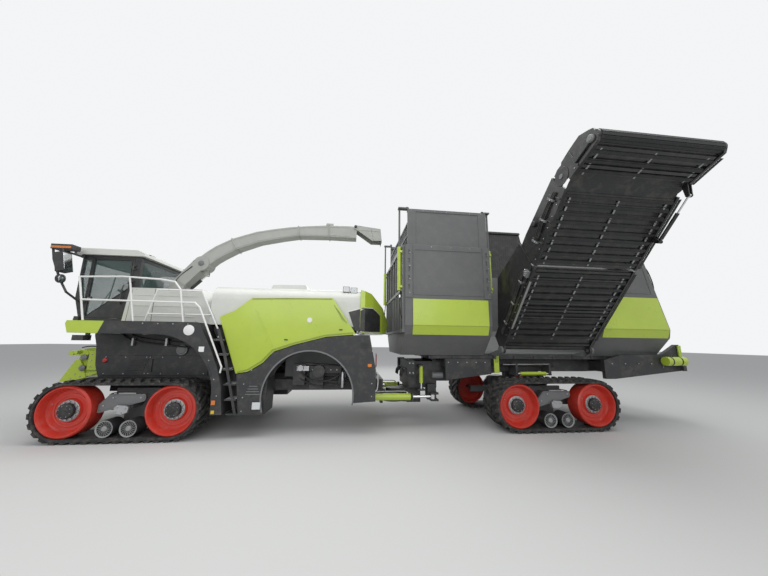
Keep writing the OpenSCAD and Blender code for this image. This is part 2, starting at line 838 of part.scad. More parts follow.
module bunker_chassis() {
    beam_in = 430;
    beam_out = 620;
    fork_t = 60;
    low = cast_low - fork_gap - fork_t;
    head_x = pivot_x - 290;
    arm_in = 1060;
    color("#232527")
    difference() {
        union() {
            // Pin and the two plates of the fork
            translate([pivot_x, 0, low]) cylinder(r = pivot_pin_r, h = cast_top - cast_low + 2 * (fork_gap + fork_t), $fn = 96);
            for (z = [low, cast_top + fork_gap])
                translate([0, 0, z]) linear_extrude(fork_t)
                    union() {
                        translate([pivot_x, 0]) circle(r = z > cast_top ? 170 : nose_r - 10, $fn = 96);
                        polygon([[pivot_x, -170], [pivot_x, 170], [pivot_x - 450, 330], [pivot_x - 640, 330],
                            [pivot_x - 640, -330], [pivot_x - 450, -330]]);
                    }
            block([pivot_x - 640, -330, low], [pivot_x - 310, 330, 850]);
            // Cross head that carries the steering cylinders' rear eyes, and its boxes
            block([steer_rear - 170, -620, 800], [head_x, 620, 1400]);
            both_sides() block([head_x - 130, 619, 1080], [head_x + 50, 720, 1420]);
            both_sides() {
                block([steer_rear - 110, 560, steer_z - 90], [steer_rear + 90, steer_y - 110, 901]);
                for (z = [steer_z - 90, steer_z + 50])
                    block([steer_rear - 110, 560, z], [steer_rear + 60, steer_y + 80, z + 40]);
            }
            // Main beams
            both_sides()
                side_plate(beam_in, beam_out)
                    polygon([[-6150, 1480], [-6150, 950], [-6500, 950], [-7900, 1170], [-10000, 1170],
                        [-12150, 1230], [-12150, 1480]]);
            for (x = [-6500, -7350, -8900, -10100, -12150])
                block([x - 120, -beam_in - eps, 1200], [x, beam_in + eps, 1460]);
            // Outer plates under the front half and round the rear axle
            both_sides()
                side_plate(900, 960)
                    polygon([[-6330, 1480], [-6330, 1010], [-7020, 1090], [-7420, 1140], [-7420, 1480]]);
            for (x = [-6400, -7400]) both_sides() block([x, beam_out - eps, 1300], [x + 80, 901, 1470]);
            // Saddles down to the rear axle
            both_sides() block([rear_x - 140, beam_in, frame_low], [rear_x + 140, beam_out, 1175]);
            // Tail arms
            both_sides()
                side_plate(arm_in, arm_in + 90)
                    polygon([[-10150, 1050], [-10150, 1480], [-10600, 1600], [-11740, 1625], [-12150, 1860],
                        [-12230, 1860], [-12230, 1240], [-10400, 1050]]);
            both_sides() block([-10400, beam_out - eps, 1200], [-10200, arm_in + eps, 1440]);
            both_sides() block([-12140, beam_out - eps, 1260], [-12000, arm_in + eps, 1440]);
            block([-12230, -1250, 1240], [-12149, 1250, 1480]);
            // Hitch tongue at the tail
            block([-12350, -90, hitch_z], [-12229, 90, hitch_z + 60]);
        }
        translate([-12300, 0, 1000]) cylinder(r = hitch_r, h = 600);
    }
}

// Bunker

// Half of the bunker's outline across the machine, [y, z], at an inward offset
module bin_half(inset, top) {
    polygon([[0, floor_z + inset], [980 - inset * 0.4, floor_z + inset], [1400 - inset, bin_low],
        [bin_hw - inset, band_fold], [bin_hw - inset, top], [0, top]]);
}

module bin_outline(inset, top) {
    for (s = [0, 1]) mirror([s, 0]) bin_half(inset, top);
}

// A bunker length from x0 back to x1, outline at the given inset
module bin_run(x0, x1, inset, top) {
    translate([x1, 0, 0]) rotate([90, 0, 90]) linear_extrude(x0 - x1) bin_outline(inset, top);
}

lean = tan(rear_lean);

// Everything ahead of the leaning rear wall, moved forward by inset
module ahead_of_rear(inset) {
    side_plate(-2000, 2000)
        polygon([[0, 0], [0, 6000], [rear_wall_x + inset + (6000 - 2000) * lean, 6000],
            [rear_wall_x + inset, 2000], [rear_wall_x + inset, 0]]);
}

module bunker_walls() {
    color("#5b5e5f")
    difference() {
        union() {
            // Front half, open to the middle
            difference() {
                bin_run(front_wall_x, front_bin_end, 0, bin_top);
                bin_run(front_wall_x - 60, front_bin_end - eps, bin_wall, bin_top + eps);
            }
            // Rear half
            difference() {
                intersection() {
                    bin_run(rear_bin_start, -12000, 0, bin_top);
                    ahead_of_rear(0);
                }
                intersection() {
                    bin_run(rear_bin_start + eps, -12000, bin_wall, bin_top + eps);
                    ahead_of_rear(60);
                }
            }
            // Far wall and floor of the middle
            translate([rear_bin_start - eps, 0, 0]) rotate([90, 0, 90])
                linear_extrude(front_bin_end - rear_bin_start + 2 * eps)
                    polygon([[800, floor_z], [-980, floor_z], [-1400, bin_low], [-bin_hw, band_fold],
                        [-bin_hw, bin_top], [-bin_in, bin_top], [-bin_in, band_fold + 8],
                        [-1370, bin_low + 28], [-966, floor_z + bin_wall], [800, floor_z + bin_wall]]);
            // Ribs on the front wall
            for (y = [-1400, -930, -470, 0, 470, 930, 1400])
                block([front_wall_x - eps, y - 30, 2060], [front_wall_x + 50, y + 30, bin_top - 20]);
            for (z = [2050, 2950, bin_top - 60])
                block([front_wall_x - eps, -1430, z], [front_wall_x + 60, 1430, z + 60]);
            // Slotted corner posts
            for (x = [front_wall_x - 160, front_bin_end]) both_sides() slotted_post(x, 2800);
            both_sides() slotted_post(rear_bin_start - 160, band_rear_top + 15);
            for (x = [elev_front + 8, elev_back - 58]) side_ear(x);
        }
        // Slots right through the posts
        for (x = [front_wall_x - 160, front_bin_end, rear_bin_start - 160]) both_sides() post_slots(x);
    }
}

// Slots of one post
module post_slots(x) {
    for (i = [0 : 4]) block([x + 60, bin_hw + 4, 2980 + i * 195], [x + 95, bin_hw + 30, 3080 + i * 195]);
}

module slotted_post(x, low) {
    block([x, bin_hw - eps, low], [x + 160, bin_hw + 20, bin_top]);
}

pin_r = 40;

module side_ear(x) {
    translate([x, 0, 0])
        rotate([90, 0, 90]) linear_extrude(50)
            union() {
                translate([base_y, base_z]) circle(r = 80);
                polygon([[base_y + 80, base_z], [base_y - 80, base_z], [760, floor_z + 20], [700, floor_z + 20],
                    [700, floor_z], [1250, floor_z]]);
            }
    disc_x(base_y, base_z, pin_r, x > elev_x ? elev_front - elev_side : elev_back - 58,
        x > elev_x ? elev_front + 58 : elev_back + elev_side);
}

// Top of the fixed board behind the far wall of the middle
board_top = 5620;

module backboard() {
    y0 = bin_hw + seat;
    color("#3a3d3f")
    mirror([0, 1, 0])
        union() {
            side_plate(y0, y0 + 20)
                polygon([[front_bin_end - 10, bin_top - 400], [front_bin_end - 10, bin_top + 10],
                    [front_bin_end + 150, bin_top + 10], [front_bin_end + 150, board_top],
                    [rear_bin_start - 50, board_top], [rear_bin_start - 110, board_top - 300],
                    [rear_bin_start - 380, board_top - 820], [rear_bin_start - 380, bin_top + 10],
                    [rear_bin_start + 10, bin_top + 10], [rear_bin_start + 10, bin_top - 400]]);
            // Top rail and stiffeners
            side_plate(y0 - 60, y0 + 1)
                polygon([[front_bin_end + 150, board_top - 60], [front_bin_end + 150, board_top],
                    [rear_bin_start - 50, board_top], [rear_bin_start - 60, board_top - 60]]);
            for (x = [front_bin_end + 60, front_bin_end - 800, front_bin_end - 1650, rear_bin_start])
                block([x, y0 + 19, bin_top + 20], [x + 60, y0 + 45, board_top - 20]);
        }
}

module bunker_bands() {
    color("#a4c61c")
    both_sides() {
        band(front_wall_x - 170, front_bin_end + 80, band_front_top, 0);
        band(rear_bin_start - 80, rear_wall_x + 80, band_rear_top, 1);
    }
}

// A lime band from x0 back to x1 with its folded lower edge
module band(x0, x1, top, leaning) {
    t = 20;
    gap = seat + 0.05;
    intersection() {
        translate([x1, 0, 0]) rotate([90, 0, 90]) linear_extrude(x0 - x1)
            polygon([[bin_hw + gap, top], [bin_hw + t, top], [bin_hw + t, band_fold], [1400 + t, bin_low - 6],
                [1400 + gap, bin_low - 6], [1400 + gap, bin_low], [bin_hw + gap, band_fold]]);
        if (leaning) ahead_of_rear(40);
        else block([-8000, 0, 0], [0, 3000, 6000]);
    }
}

module bunker_floor() {
    color("#1d1e20")
    union() {
        for (x = [-6000 : -500 : -11200])
            block([x - 60, -960, 1483], [x, 960, floor_z - seat]);
        both_sides() block([-11400, 880, 1483], [-5950, 940, floor_z - seat]);
        both_sides() block([-11400, 450, 1480 + seat], [-5950, 600, floor_z - seat]);
    }
}

barrel_r = 42;
rod_r = 22;

// Raising cylinders of the front half, as [x, z of the foot, y that its clips reach]
lift_y = bin_in - 90;
lift_places = [[front_wall_x + 110, 2960, 0], [front_bin_end - 60, 2960, 0]];

// Height of the feet of the rear raising cylinders
rear_foot_z = 2960;

// Place the rear raising cylinders along the leaning wall
module rear_lift() {
    translate([rear_wall_x - 70 + (rear_foot_z - 2000) * lean, lift_y, rear_foot_z]) rotate([0, rear_lean, 0])
        children();
}

module lift_barrels() {
    color("#a4c61c")
    both_sides() {
        for (p = lift_places)
            difference() {
                union() {
                    translate([p[0], lift_y, p[1]]) cylinder(r = barrel_r, h = 1000);
                    // Clips to the rib of the front wall, or to the end of the side wall
                    for (z = [60, 860])
                        if (p[0] > front_wall_x)
                            block([front_wall_x + 50 + seat, lift_y, p[1] + z], [p[0], bin_in - 20, p[1] + z + 50]);
                        else
                            block([p[0] - 20, lift_y, p[1] + z], [p[0] + 20, bin_in - seat, p[1] + z + 50]);
                }
                translate([p[0], lift_y, p[1] + 55]) cylinder(r = rod_r + seat, h = 2000);
            }
        rear_lift()
            difference() {
                union() {
                    cylinder(r = barrel_r, h = 960);
                    for (z = [80, 800]) block([0, -20, z], [70 * cos(rear_lean) - seat, 20, z + 60]);
                }
                translate([0, 0, 30]) cylinder(r = rod_r + seat, h = 2000);
            }
    }
}

module front_raiser() {
    low = raised_top - 950;
    x0 = front_wall_x - 60 - slide_gap;
    x1 = front_bin_end + 10;
    out = bin_in - slide_gap;
    grille = raised_top - 310;
    color("#55585a")
    union() {
        // Side panels, each with a raised frame and chamfered lower corners
        both_sides() {
            side_plate(out - 40, out - 12)
                polygon([[x1, low + 60], [x1 + 60, low], [x0 - 60, low], [x0, low + 60], [x0, raised_top], [x1, raised_top]]);
            side_plate(out - 13, out)
                difference() {
                    polygon([[x1, low + 60], [x1 + 60, low], [x0 - 60, low], [x0, low + 60], [x0, raised_top], [x1, raised_top]]);
                    polygon([[x1 + 190, low + 60], [x0 - 190, low + 60], [x0 - 190, raised_top - 50],
                        [x1 + 190, raised_top - 50]]);
                }
        }
        // Front grille
        for (z = [low, (low + grille) / 2, grille - 40])
            block([x0 - 40, -out, z], [x0, out, z + 40]);
        for (i = [-13 : 13])
            block([x0 - 30, i * (out - 134) / 13 - 8, low], [x0 - 10, i * (out - 134) / 13 + 8, grille]);
        both_sides() {
            // Top edge profile
            block([x1, out - 90, raised_top - 60], [x0, out, raised_top]);
            // Brackets and rods of the raising cylinders, ahead of the front and behind the rear end
            for (p = lift_places) {
                x_end = p[0] > front_wall_x ? x0 : x1;
                block([min(p[0], x_end) - 35, lift_y - 35, raised_top - eps],
                      [max(p[0], x_end) + 35, out - 1, raised_top + 30]);
                translate([p[0], lift_y, p[1] + 940]) cylinder(r = rod_r, h = raised_top + 10 - p[1] - 940);
            }
        }
    }
}

module rear_raiser() {
    low = bin_top - 930;
    out = bin_in - slide_gap;
    x0 = rear_bin_start - 260;
    x_in = rear_wall_x + 60 + slide_gap + (bin_top - 2000) * lean;
    rod_end = (bin_top + 20 - rear_foot_z) / cos(rear_lean);
    color("#55585a")
    union() {
        intersection() {
            difference() {
                block([-12000, -out, low], [x0, out, bin_top]);
                intersection() {
                    block([-12000, -out + 40, low - eps], [x0 + 100, out - 40, bin_top + eps]);
                    ahead_of_rear(60 + slide_gap + 40);
                }
            }
            ahead_of_rear(60 + slide_gap);
        }
        // Pads that run on the fixed walls
        both_sides()
            for (x = [x0 - 100, x0 - 900]) for (z = [low + 40, low + 240])
                block([x, out - eps, z], [x + 60, bin_in - seat, z + 60]);
        // Brackets over the rear wall, and the rods of the raising cylinders
        both_sides() {
            block([x_in - 180, lift_y - 35, bin_top + seat], [x_in + 35, lift_y + 35, bin_top + 30]);
            block([x_in + 5, lift_y - 35, bin_top - 6], [x_in + 35, lift_y + 35, bin_top + 10]);
            rear_lift() translate([0, 0, 60]) cylinder(r = rod_r, h = rod_end - 60);
        }
    }
}

// Elevator

// Place a section's own [s, n] plane: s along the underside from the base pivot, n up from it
module elevator_frame(s = 0) {
    translate([0, base_y, base_z]) rotate([elev_angle, 0, 0]) translate([0, s, 0]) children();
}

// Trough between two ends, with its two side walls as children and its slats
module trough(y0, y1, slats) {
    for (x = [elev_back, elev_front - elev_side])
        translate([x, 0, 0]) rotate([90, 0, 90]) linear_extrude(elev_side) children();
    block([elev_back + elev_side - eps, y0, 40], [elev_front - elev_side + eps, y1 - 20, 150]);
    for (i = [0 : slats - 1])
        translate([0, y0 + 60 + i * (y1 - y0 - 140) / (slats - 1), 0])
            block([elev_back + elev_side + 20, -25, 12], [elev_front - elev_side - 20, 25, 41]);
}

// Round end of a hinge plate at [s, n], reaching back to [s_root, n_root]
module hinge_tongue(s, n, s_root, n_root, r) {
    circle_at = [s, n];
    translate(circle_at) circle(r = r);
    polygon([[s, n + r], [s_root, n_root + r], [s_root, n_root - r], [s, n - r]]);
}

// Plates just inside the two side walls
module inboard() {
    for (x = [elev_back + elev_side + 6, elev_front - elev_side - 46])
        translate([x, 0, 0]) rotate([90, 0, 90]) linear_extrude(40) children();
}

// A pair of hinge pins through side walls and inboard ears
module hinge_pin(s, n) {
    disc_x(s, n, 20, elev_back, elev_back + elev_side + 46);
    disc_x(s, n, 20, elev_front - elev_side - 46, elev_front);
}

// Bracket under the rear side wall for an end of the end section's cylinder
module cylinder_foot(s, n, s_a, s_b, n_root) {
    for (x = [elev_back, elev_back + 60])
        translate([x, 0, 0]) rotate([90, 0, 90]) linear_extrude(14)
            union() {
                translate([s, n]) circle(r = 32);
                polygon([[s - 32, n], [s + 32, n], [s_b, n_root + 60], [s_a, n_root + 60]]);
            }
}

module elevator_lower() {
    s1 = start_s + elev_low;
    color("#1e1f21")
    elevator_frame()
        difference() {
            union() {
                trough(90, s1, 11)
                    union() {
                        circle(r = 75);
                        polygon([[0, -75], [120, 0], [s1 - 20, 0], [s1 - 10, elev_h], [40, elev_h], [-75, 0]]);
                        hinge_tongue(s1, hinge_a_n, s1 - 160, elev_h - 60, 50);
                    }
                hinge_pin(s1, hinge_a_n);
                // Drive roller round the base pivot
                disc_x(0, 110, 60, elev_back + 10, elev_front - 10);
                // Apron that closes the gap to the front half, on two spacers
                translate([elev_front + 6, 0, 0]) rotate([90, 0, 90]) linear_extrude(10)
                    polygon([[350, 60], [350, 430], [s1 - 820, 1060], [s1 + 190, 680], [s1 + 40, 150], [s1 - 60, 60]]);
                for (s = [500, s1 - 300]) disc_x(s, 250, 40, elev_front - eps, elev_front + 7);
            }
            disc_x(0, 0, pin_r + fit, elev_back - 10, elev_front + 10);
        }
}

// Height of the hinge between the lower and the middle section
hinge_a_n = 450;
// Height of the middle section's side walls
mid_h = 620;

module elevator_middle() {
    s0 = start_s + elev_low;
    s1 = s0 + elev_mid;
    color("#1e1f21")
    elevator_frame()
        difference() {
            union() {
                trough(s0 + 20, s1 - 140, 9)
                    union() {
                        difference() {
                            polygon([[s0 + 12, 0], [s1 - 150, 0], [s1 - 135, hinge_b_n - 60], [s1 - 135, hinge_b_n + 60],
                                [s1 - 60, 430], [s0 + 400, mid_h - 20], [s0 + 80, mid_h], [s0 + 12, elev_h]]);
                            translate([s0, hinge_a_n]) circle(r = 62);
                        }
                        hinge_tongue(s1, hinge_b_n, s1 - 180, hinge_b_n, 50);
                    }
                // Ears of the fold hinge, inboard of the side walls
                inboard() hinge_tongue(s0, hinge_a_n, s0 + 150, elev_h - 80, 44);
                inboard() translate([s0 + 90, 60]) square([60, elev_h - 80]);
                hinge_pin(s1, hinge_b_n);
                // Foot of the end section's cylinder
                cylinder_foot(tip_foot[0], tip_foot[1], tip_foot[0] - 60, tip_foot[0] + 60, 0);
                disc_x(tip_foot[0], tip_foot[1], 16, elev_back, elev_back + 74);
            }
            disc_x(s0, hinge_a_n, 20 + fit, elev_back - 10, elev_front + 10);
        }
}

module elevator_end() {
    s1 = start_s + elev_low + elev_mid;
    color("#1e1f21")
    elevator_frame()
        translate([0, s1, hinge_b_n]) rotate([-tip_bend, 0, 0])
            translate([0, 0, -hinge_b_n])
                difference() {
                    union() {
                        trough(150, elev_tip - 80, 5)
                            difference() {
                                polygon([[-40, 0], [elev_tip - 60, 0], [elev_tip, 60], [elev_tip, 230], [elev_tip - 60, 290],
                                    [elev_tip - 200, elev_h - 20], [330, elev_h - 10], [120, elev_h - 20], [90, elev_h - 60],
                                    [90, 30], [-40, 30]]);
                                translate([-60, -5]) square([140, 40]);
                            }
                        inboard() hinge_tongue(0, hinge_b_n, 220, hinge_b_n - 40, 44);
                        // Fans that keep the bend closed
                        inboard() polygon([[0, hinge_b_n], [160, hinge_b_n], [160, 420], [-40, 445], [-150, 410]]);
                        disc_x(elev_tip - 60, 120, 90, elev_back + 10, elev_front - 10);
                        cylinder_foot(tip_eye_own[0], tip_eye_own[1], 90, 200, 0);
                    }
                    disc_x(0, hinge_b_n, 20 + fit, elev_back - 10, elev_front + 10);
                }
}

// Cylinder of the end section: its foot and its eye, as [s, n]
tip_foot = [start_s + elev_low + elev_mid - 900, -120];
tip_eye_own = [60, -150];
tip_eye = [start_s + elev_low + elev_mid + tip_eye_own[0] * cos(tip_bend) + (tip_eye_own[1] - hinge_b_n) * sin(tip_bend),
    hinge_b_n - tip_eye_own[0] * sin(tip_bend) + (tip_eye_own[1] - hinge_b_n) * cos(tip_bend)];

// 0 draws the barrel, 1 the rod
module tip_cylinder(piece) {
    d = tip_eye - tip_foot;
    elevator_frame()
        translate([elev_back + 37, tip_foot[0], tip_foot[1]]) rotate([atan2(d[1], d[0]) - 90, 0, 0])
            if (piece == 0)
                difference() {
                    union() {
                        cylinder(r = 15, h = 60);
                        translate([0, 0, 50]) cylinder(r = 30, h = 470);
                        translate([-17, 0, 0]) rotate([0, 90, 0]) cylinder(r = 30, h = 34);
                    }
                    translate([0, 0, 80]) cylinder(r = 14 + seat, h = 600);
                    translate([-50, 0, 0]) rotate([0, 90, 0]) cylinder(r = 16 + fit, h = 100);
                }
            else
                union() {
                    translate([0, 0, 300]) cylinder(r = 14, h = norm(d) - 300);
                    translate([-17, 0, norm(d)]) rotate([0, 90, 0]) cylinder(r = 26, h = 34);
                }
}

module tip_barrel() {
    color("#1f2022")
    tip_cylinder(0);
}

module tip_rod() {
    color("#c8cacc")
    tip_cylinder(1);
}

module tail_tanks() {
    color("#8fb023")
    both_sides()
        translate([-12149 + seat, 1270, 1470]) rotate([0, 90, 0]) cylinder(r = 105, h = 500);
}

// Steering cylinders, one barrel and one rod a side

steer_y = 900;
steer_z = 650;
steer_front = -4430;
steer_rear = -6040;
steer_pin_r = 30;
barrel_end = -5580;

module steer_barrel() {
    color("#a4c61c")
    difference() {
        union() {
            disc_x(steer_y, steer_z, steer_barrel_r, barrel_end, steer_front - 100);
            disc_x(steer_y, steer_z, 38, steer_front - 101, steer_front);
            translate([steer_front, steer_y, steer_z - 45]) cylinder(r = 58, h = 90);
        }
        disc_x(steer_y, steer_z, steer_rod_r + seat, barrel_end - 10, steer_front - 150);
        translate([steer_front, steer_y, steer_z - 100]) cylinder(r = steer_pin_r + fit, h = 200);
    }
}

module steer_rod() {
    color("#c8cacc")
    union() {
        disc_x(steer_y, steer_z, steer_rod_r, steer_rear, barrel_end + 450);
        translate([steer_rear, steer_y, steer_z - 50 + seat]) cylinder(r = 60, h = 100 - 2 * seat);
    }
}

module steer_barrel_left() { steer_barrel(); }
module steer_barrel_right() { mirror([0, 1, 0]) steer_barrel(); }
module steer_rod_left() { steer_rod(); }
module steer_rod_right() { mirror([0, 1, 0]) steer_rod(); }

// Spout

turret_x = 0;
turret_z = 2900 + seat;
lift_x = -440;
lift_z = 3690;
knuckle_r = 180;
// Ends of the lift cylinder, as [x, z]
cyl_base = [-170, 3050];
cyl_eye = [-530, 3430];

module turret() {
    color("#8f9290")
    difference() {
        union() {
            translate([turret_x, 0, turret_z]) cylinder(r = turret_r, h = 80, $fn = 72);
            // Tower, with cheeks round the knuckle
            difference() {
                side_plate(-spout_w / 2, spout_w / 2)
                    polygon([[250, turret_z + 70], [240, 3060], [140, 3262], [-290, 3815], [lift_x, lift_z],
                        [-560, 3560], [-420, 3480], [-110, 3110], [-90, turret_z + 70]]);
                disc_y(lift_x, lift_z, knuckle_r + 20, -400, 400);
            }
            both_sides()
                side_plate(spout_w / 2 - eps, spout_w / 2 + 20)
                    union() {
                        translate([lift_x, lift_z]) circle(r = knuckle_r);
                        polygon([[60, 3250], [-310, 3800], [lift_x, lift_z + 40], [-540, 3560], [-420, 3480], [-130, 3130]]);
                    }
            // Lug of the lift cylinder
            both_sides()
                side_plate(34, 50)
                    polygon([[-40, turret_z + 70], [-60, 3110], [cyl_base[0] - 10, cyl_base[1] + 35],
                        [cyl_base[0] - 35, cyl_base[1]], [cyl_base[0] - 20, cyl_base[1] - 28], [-150, turret_z + 70]]);
            disc_y(cyl_base[0], cyl_base[1], 18, -50, 50);
        }
        disc_y(lift_x, lift_z, 30 + fit, -400, 400);
    }
}

// Middle line of the spout, as [x, z, half height]
spout_path = [[-480, 3740, 150], [-640, 3895, 150], [-820, 4030, 155], [-1150, 4230, 150], [-1710, 4455, 140],
    [-2300, 4590, 132], [-2720, 4665, 125], [-3500, 4715, 150], [-4050, 4720, 160], [-4230, 4716, 152]];

function spout_edge(sign, inset) = [for (i = [0 : len(spout_path) - 1])
    let (p = spout_path[i],
         a = spout_path[max(i - 1, 0)],
         b = spout_path[min(i + 1, len(spout_path) - 1)],
         d = [b[0] - a[0], b[1] - a[1]] / norm([b[0] - a[0], b[1] - a[1]]))
    [p[0] + sign * d[1] * (p[2] - inset), p[1] - sign * d[0] * (p[2] - inset)]];

function reversed(v) = [for (i = [len(v) - 1 : -1 : 0]) v[i]];

module spout_side(inset) {
    polygon(concat(spout_edge(1, inset), reversed(spout_edge(-1, inset))));
}

module spout() {
    color("#9b9d98")
    union() {
        difference() {
            side_plate(-spout_w / 2 + 6, spout_w / 2 - 6)
                union() {
                    spout_side(0);
                    translate([lift_x, lift_z]) circle(r = knuckle_r);
                }
            side_plate(-spout_w / 2 + 6 + spout_wall, spout_w / 2 - 6 - spout_wall) spout_side(spout_wall);
        }
        disc_y(lift_x, lift_z, 30, -spout_w / 2 - 26, spout_w / 2 + 26);
        // Lug for the rod of the lift cylinder
        both_sides()
            side_plate(34, 50)
                polygon([[lift_x - 120, lift_z - 110], [cyl_eye[0] - 40, cyl_eye[1] + 20], [cyl_eye[0] - 30, cyl_eye[1] - 30],
                    [cyl_eye[0] + 25, cyl_eye[1] - 30], [lift_x + 30, lift_z - 150]]);
        disc_y(flap_x, flap_z, 14, -spout_w / 2 - 10, spout_w / 2 + 10);
        // Camera box near the end
        block([-3600, -80, 4860], [-3420, 80, 4960]);
    }
}

flap_x = -4200;
flap_z = 4870;

// Lift cylinder of the spout between its base and its eye: 0 draws the barrel, 1 the rod
module lift_cylinder(piece) {
    d = [cyl_eye[0] - cyl_base[0], cyl_eye[1] - cyl_base[1]];
    len = norm(d);
    translate([cyl_base[0], 0, cyl_base[1]]) rotate([0, 90 - atan2(d[1], d[0]), 0])
        if (piece == 0)
            difference() {
                union() {
                    cylinder(r = 28, h = 60);
                    translate([0, 0, 50]) cylinder(r = 38, h = 290);
                    translate([0, 26, 0]) rotate([90, 0, 0]) cylinder(r = 38, h = 52);
                }
                translate([0, 0, 70]) cylinder(r = 18 + seat, h = 400);
                translate([0, 100, 0]) rotate([90, 0, 0]) cylinder(r = 18 + fit, h = 200);
            }
        else
            union() {
                translate([0, 0, 220]) cylinder(r = 18, h = len - 220);
                translate([0, 26, len]) rotate([90, 0, 0]) cylinder(r = 28, h = 52);
            }
}

module spout_flap() {
    color("#8a8c88")
    union() {
        both_sides()
            difference() {
                side_plate(spout_w / 2 + 1, spout_w / 2 + 6)
                    polygon([[flap_x + 50, flap_z - 60], [flap_x + 40, 4905], [-4870, 4840], [-4900, 4510],
                        [-4640, 4505], [flap_x - 40, flap_z - 90]]);
                disc_y(flap_x, flap_z, 14 + fit, 0, 400);
            }
        side_plate(-spout_w / 2 - 6, spout_w / 2 + 6)
            polygon([[flap_x - 15, 4905], [flap_x - 15, 4912], [-4872, 4846], [-4906, 4510], [-4898, 4510], [-4862, 4838]]);
    }
}

module spout_barrel() {
    color("#1f2022")
    lift_cylinder(0);
}

module spout_rod() {
    color("#c8cacc")
    lift_cylinder(1);
}

main_frame();
drum_housing();
intake_housing();
feed_roller_upper();
feed_roller_lower();
engine();
cab_body();
cab_door();
cab_roof();
cab_glass();
operator_station();
mirrors();
fenders();
fender_tips();
guard_rails();
ladder();
side_covers();
hood_top();
left_side_panel();
right_side_panel();
tail_hood();
lower_body();
arch_machinery();
pivot_casting();
front_axle();
front_track_frames();
front_wheels();
front_rollers();
front_belt_left();
front_belt_right();
turret();
spout();
spout_flap();
spout_barrel();
spout_rod();
steer_barrel_left();
steer_rod_left();
steer_barrel_right();
steer_rod_right();
bunker_chassis();
rear_axle();
rear_track_frames();
rear_wheels();
rear_rollers();
rear_belt_left();
rear_belt_right();
bunker_walls();
bunker_bands();
bunker_floor();
backboard();
lift_barrels();
front_raiser();
rear_raiser();
elevator_lower();
elevator_middle();
elevator_end();
tip_barrel();
tip_rod();
tail_tanks();
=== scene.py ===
import json
import math
from contextlib import contextmanager

import bmesh
import bpy
from mathutils import Matrix, Vector


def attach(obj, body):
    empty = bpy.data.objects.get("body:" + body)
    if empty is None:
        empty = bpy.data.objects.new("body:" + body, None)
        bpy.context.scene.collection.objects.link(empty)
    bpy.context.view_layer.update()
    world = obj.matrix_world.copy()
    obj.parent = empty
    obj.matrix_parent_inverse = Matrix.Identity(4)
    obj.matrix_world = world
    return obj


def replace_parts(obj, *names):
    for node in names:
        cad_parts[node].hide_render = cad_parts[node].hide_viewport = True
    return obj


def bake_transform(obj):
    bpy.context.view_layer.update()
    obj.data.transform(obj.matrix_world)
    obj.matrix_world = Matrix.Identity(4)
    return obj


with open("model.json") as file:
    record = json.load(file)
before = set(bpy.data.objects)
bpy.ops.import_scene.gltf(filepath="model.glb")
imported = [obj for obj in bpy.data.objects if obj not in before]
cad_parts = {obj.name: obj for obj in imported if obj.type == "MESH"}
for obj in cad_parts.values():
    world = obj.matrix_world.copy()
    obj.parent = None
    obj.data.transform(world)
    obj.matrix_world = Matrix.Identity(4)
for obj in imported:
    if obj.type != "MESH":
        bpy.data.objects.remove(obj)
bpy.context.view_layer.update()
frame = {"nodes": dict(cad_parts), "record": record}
scene = bpy.context.scene

# Camera, in the part's own frame: the photograph is 768 pixels wide
CAM_AT = Vector((-4.152, 7.535, 1.862))
PHOTO_W, SENSOR_MM = 768.0, 36.0
FOCAL_PX, PITCH, ROLL, YAW = 288.0, 0.1817, -0.01288, 0.11277
forward = Vector((-math.sin(YAW) * math.cos(PITCH), -math.cos(YAW) * math.cos(PITCH), math.sin(PITCH)))
right0 = Vector((-math.cos(YAW), math.sin(YAW), 0))
up0 = Vector((math.sin(YAW) * math.sin(PITCH), math.cos(YAW) * math.sin(PITCH), math.cos(PITCH)))
right = right0 * math.cos(ROLL) - up0 * math.sin(ROLL)
up = right0 * math.sin(ROLL) + up0 * math.cos(ROLL)
cam_data = bpy.data.cameras.new("camera")
cam_data.sensor_fit = "HORIZONTAL"
cam_data.sensor_width = SENSOR_MM
cam_data.lens = SENSOR_MM * FOCAL_PX / PHOTO_W
cam_data.clip_end = 500
cam = bpy.data.objects.new("camera", cam_data)
scene.collection.objects.link(cam)
cam.matrix_world = Matrix.Translation(CAM_AT) @ Matrix((right, up, -forward)).transposed().to_4x4()
scene.camera = cam

# Materials


def node_tree(owner):
    """The empty node tree of a material or world."""
    owner.use_nodes = True
    owner.node_tree.nodes.clear()
    return owner.node_tree


def node(nt, kind, inputs=None, **settings):
    """A shader node; an input takes a value, or a socket that is linked to it."""
    made = nt.nodes.new("ShaderNode" + kind)
    for key, value in settings.items():
        setattr(made, key, value)
    for key, value in (inputs or {}).items():
        if isinstance(value, bpy.types.NodeSocket):
            nt.links.new(value, made.inputs[key])
        else:
            made.inputs[key].default_value = value
    return made


def painted(name, fill):
    """A material whose one shader takes the inputs that fill works out."""
    mat = bpy.data.materials.new(name)
    nt = node_tree(mat)
    shader = node(nt, "BsdfPrincipled", fill(nt))
    node(nt, "OutputMaterial", {0: shader.outputs[0]})
    return mat


def noise(nt, scale, detail=4.0, rough=0.6, stretch=None):
    at = node(nt, "TexCoord").outputs["Object"]
    if stretch:
        at = node(nt, "Mapping", {"Vector": at, "Scale": stretch}).outputs[0]
    return node(nt, "TexNoise", {"Vector": at, "Scale": scale, "Detail": detail, "Roughness": rough}).outputs[0]


def ramp(nt, fac, *stops):
    made = node(nt, "ValToRGB", {0: fac})
    for element, (position, color) in zip(made.color_ramp.elements, stops):
        element.position = position
        element.color = tuple(color) + (1,)
    return made.outputs[0]


def between(nt, fac, low, high):
    return node(nt, "MapRange", {0: fac, "To Min": low, "To Max": high}).outputs[0]


def scaled(c, k):
    return tuple(max(0.0, min(1.0, v * k)) for v in c)


DUST = (0.3, 0.27, 0.22)


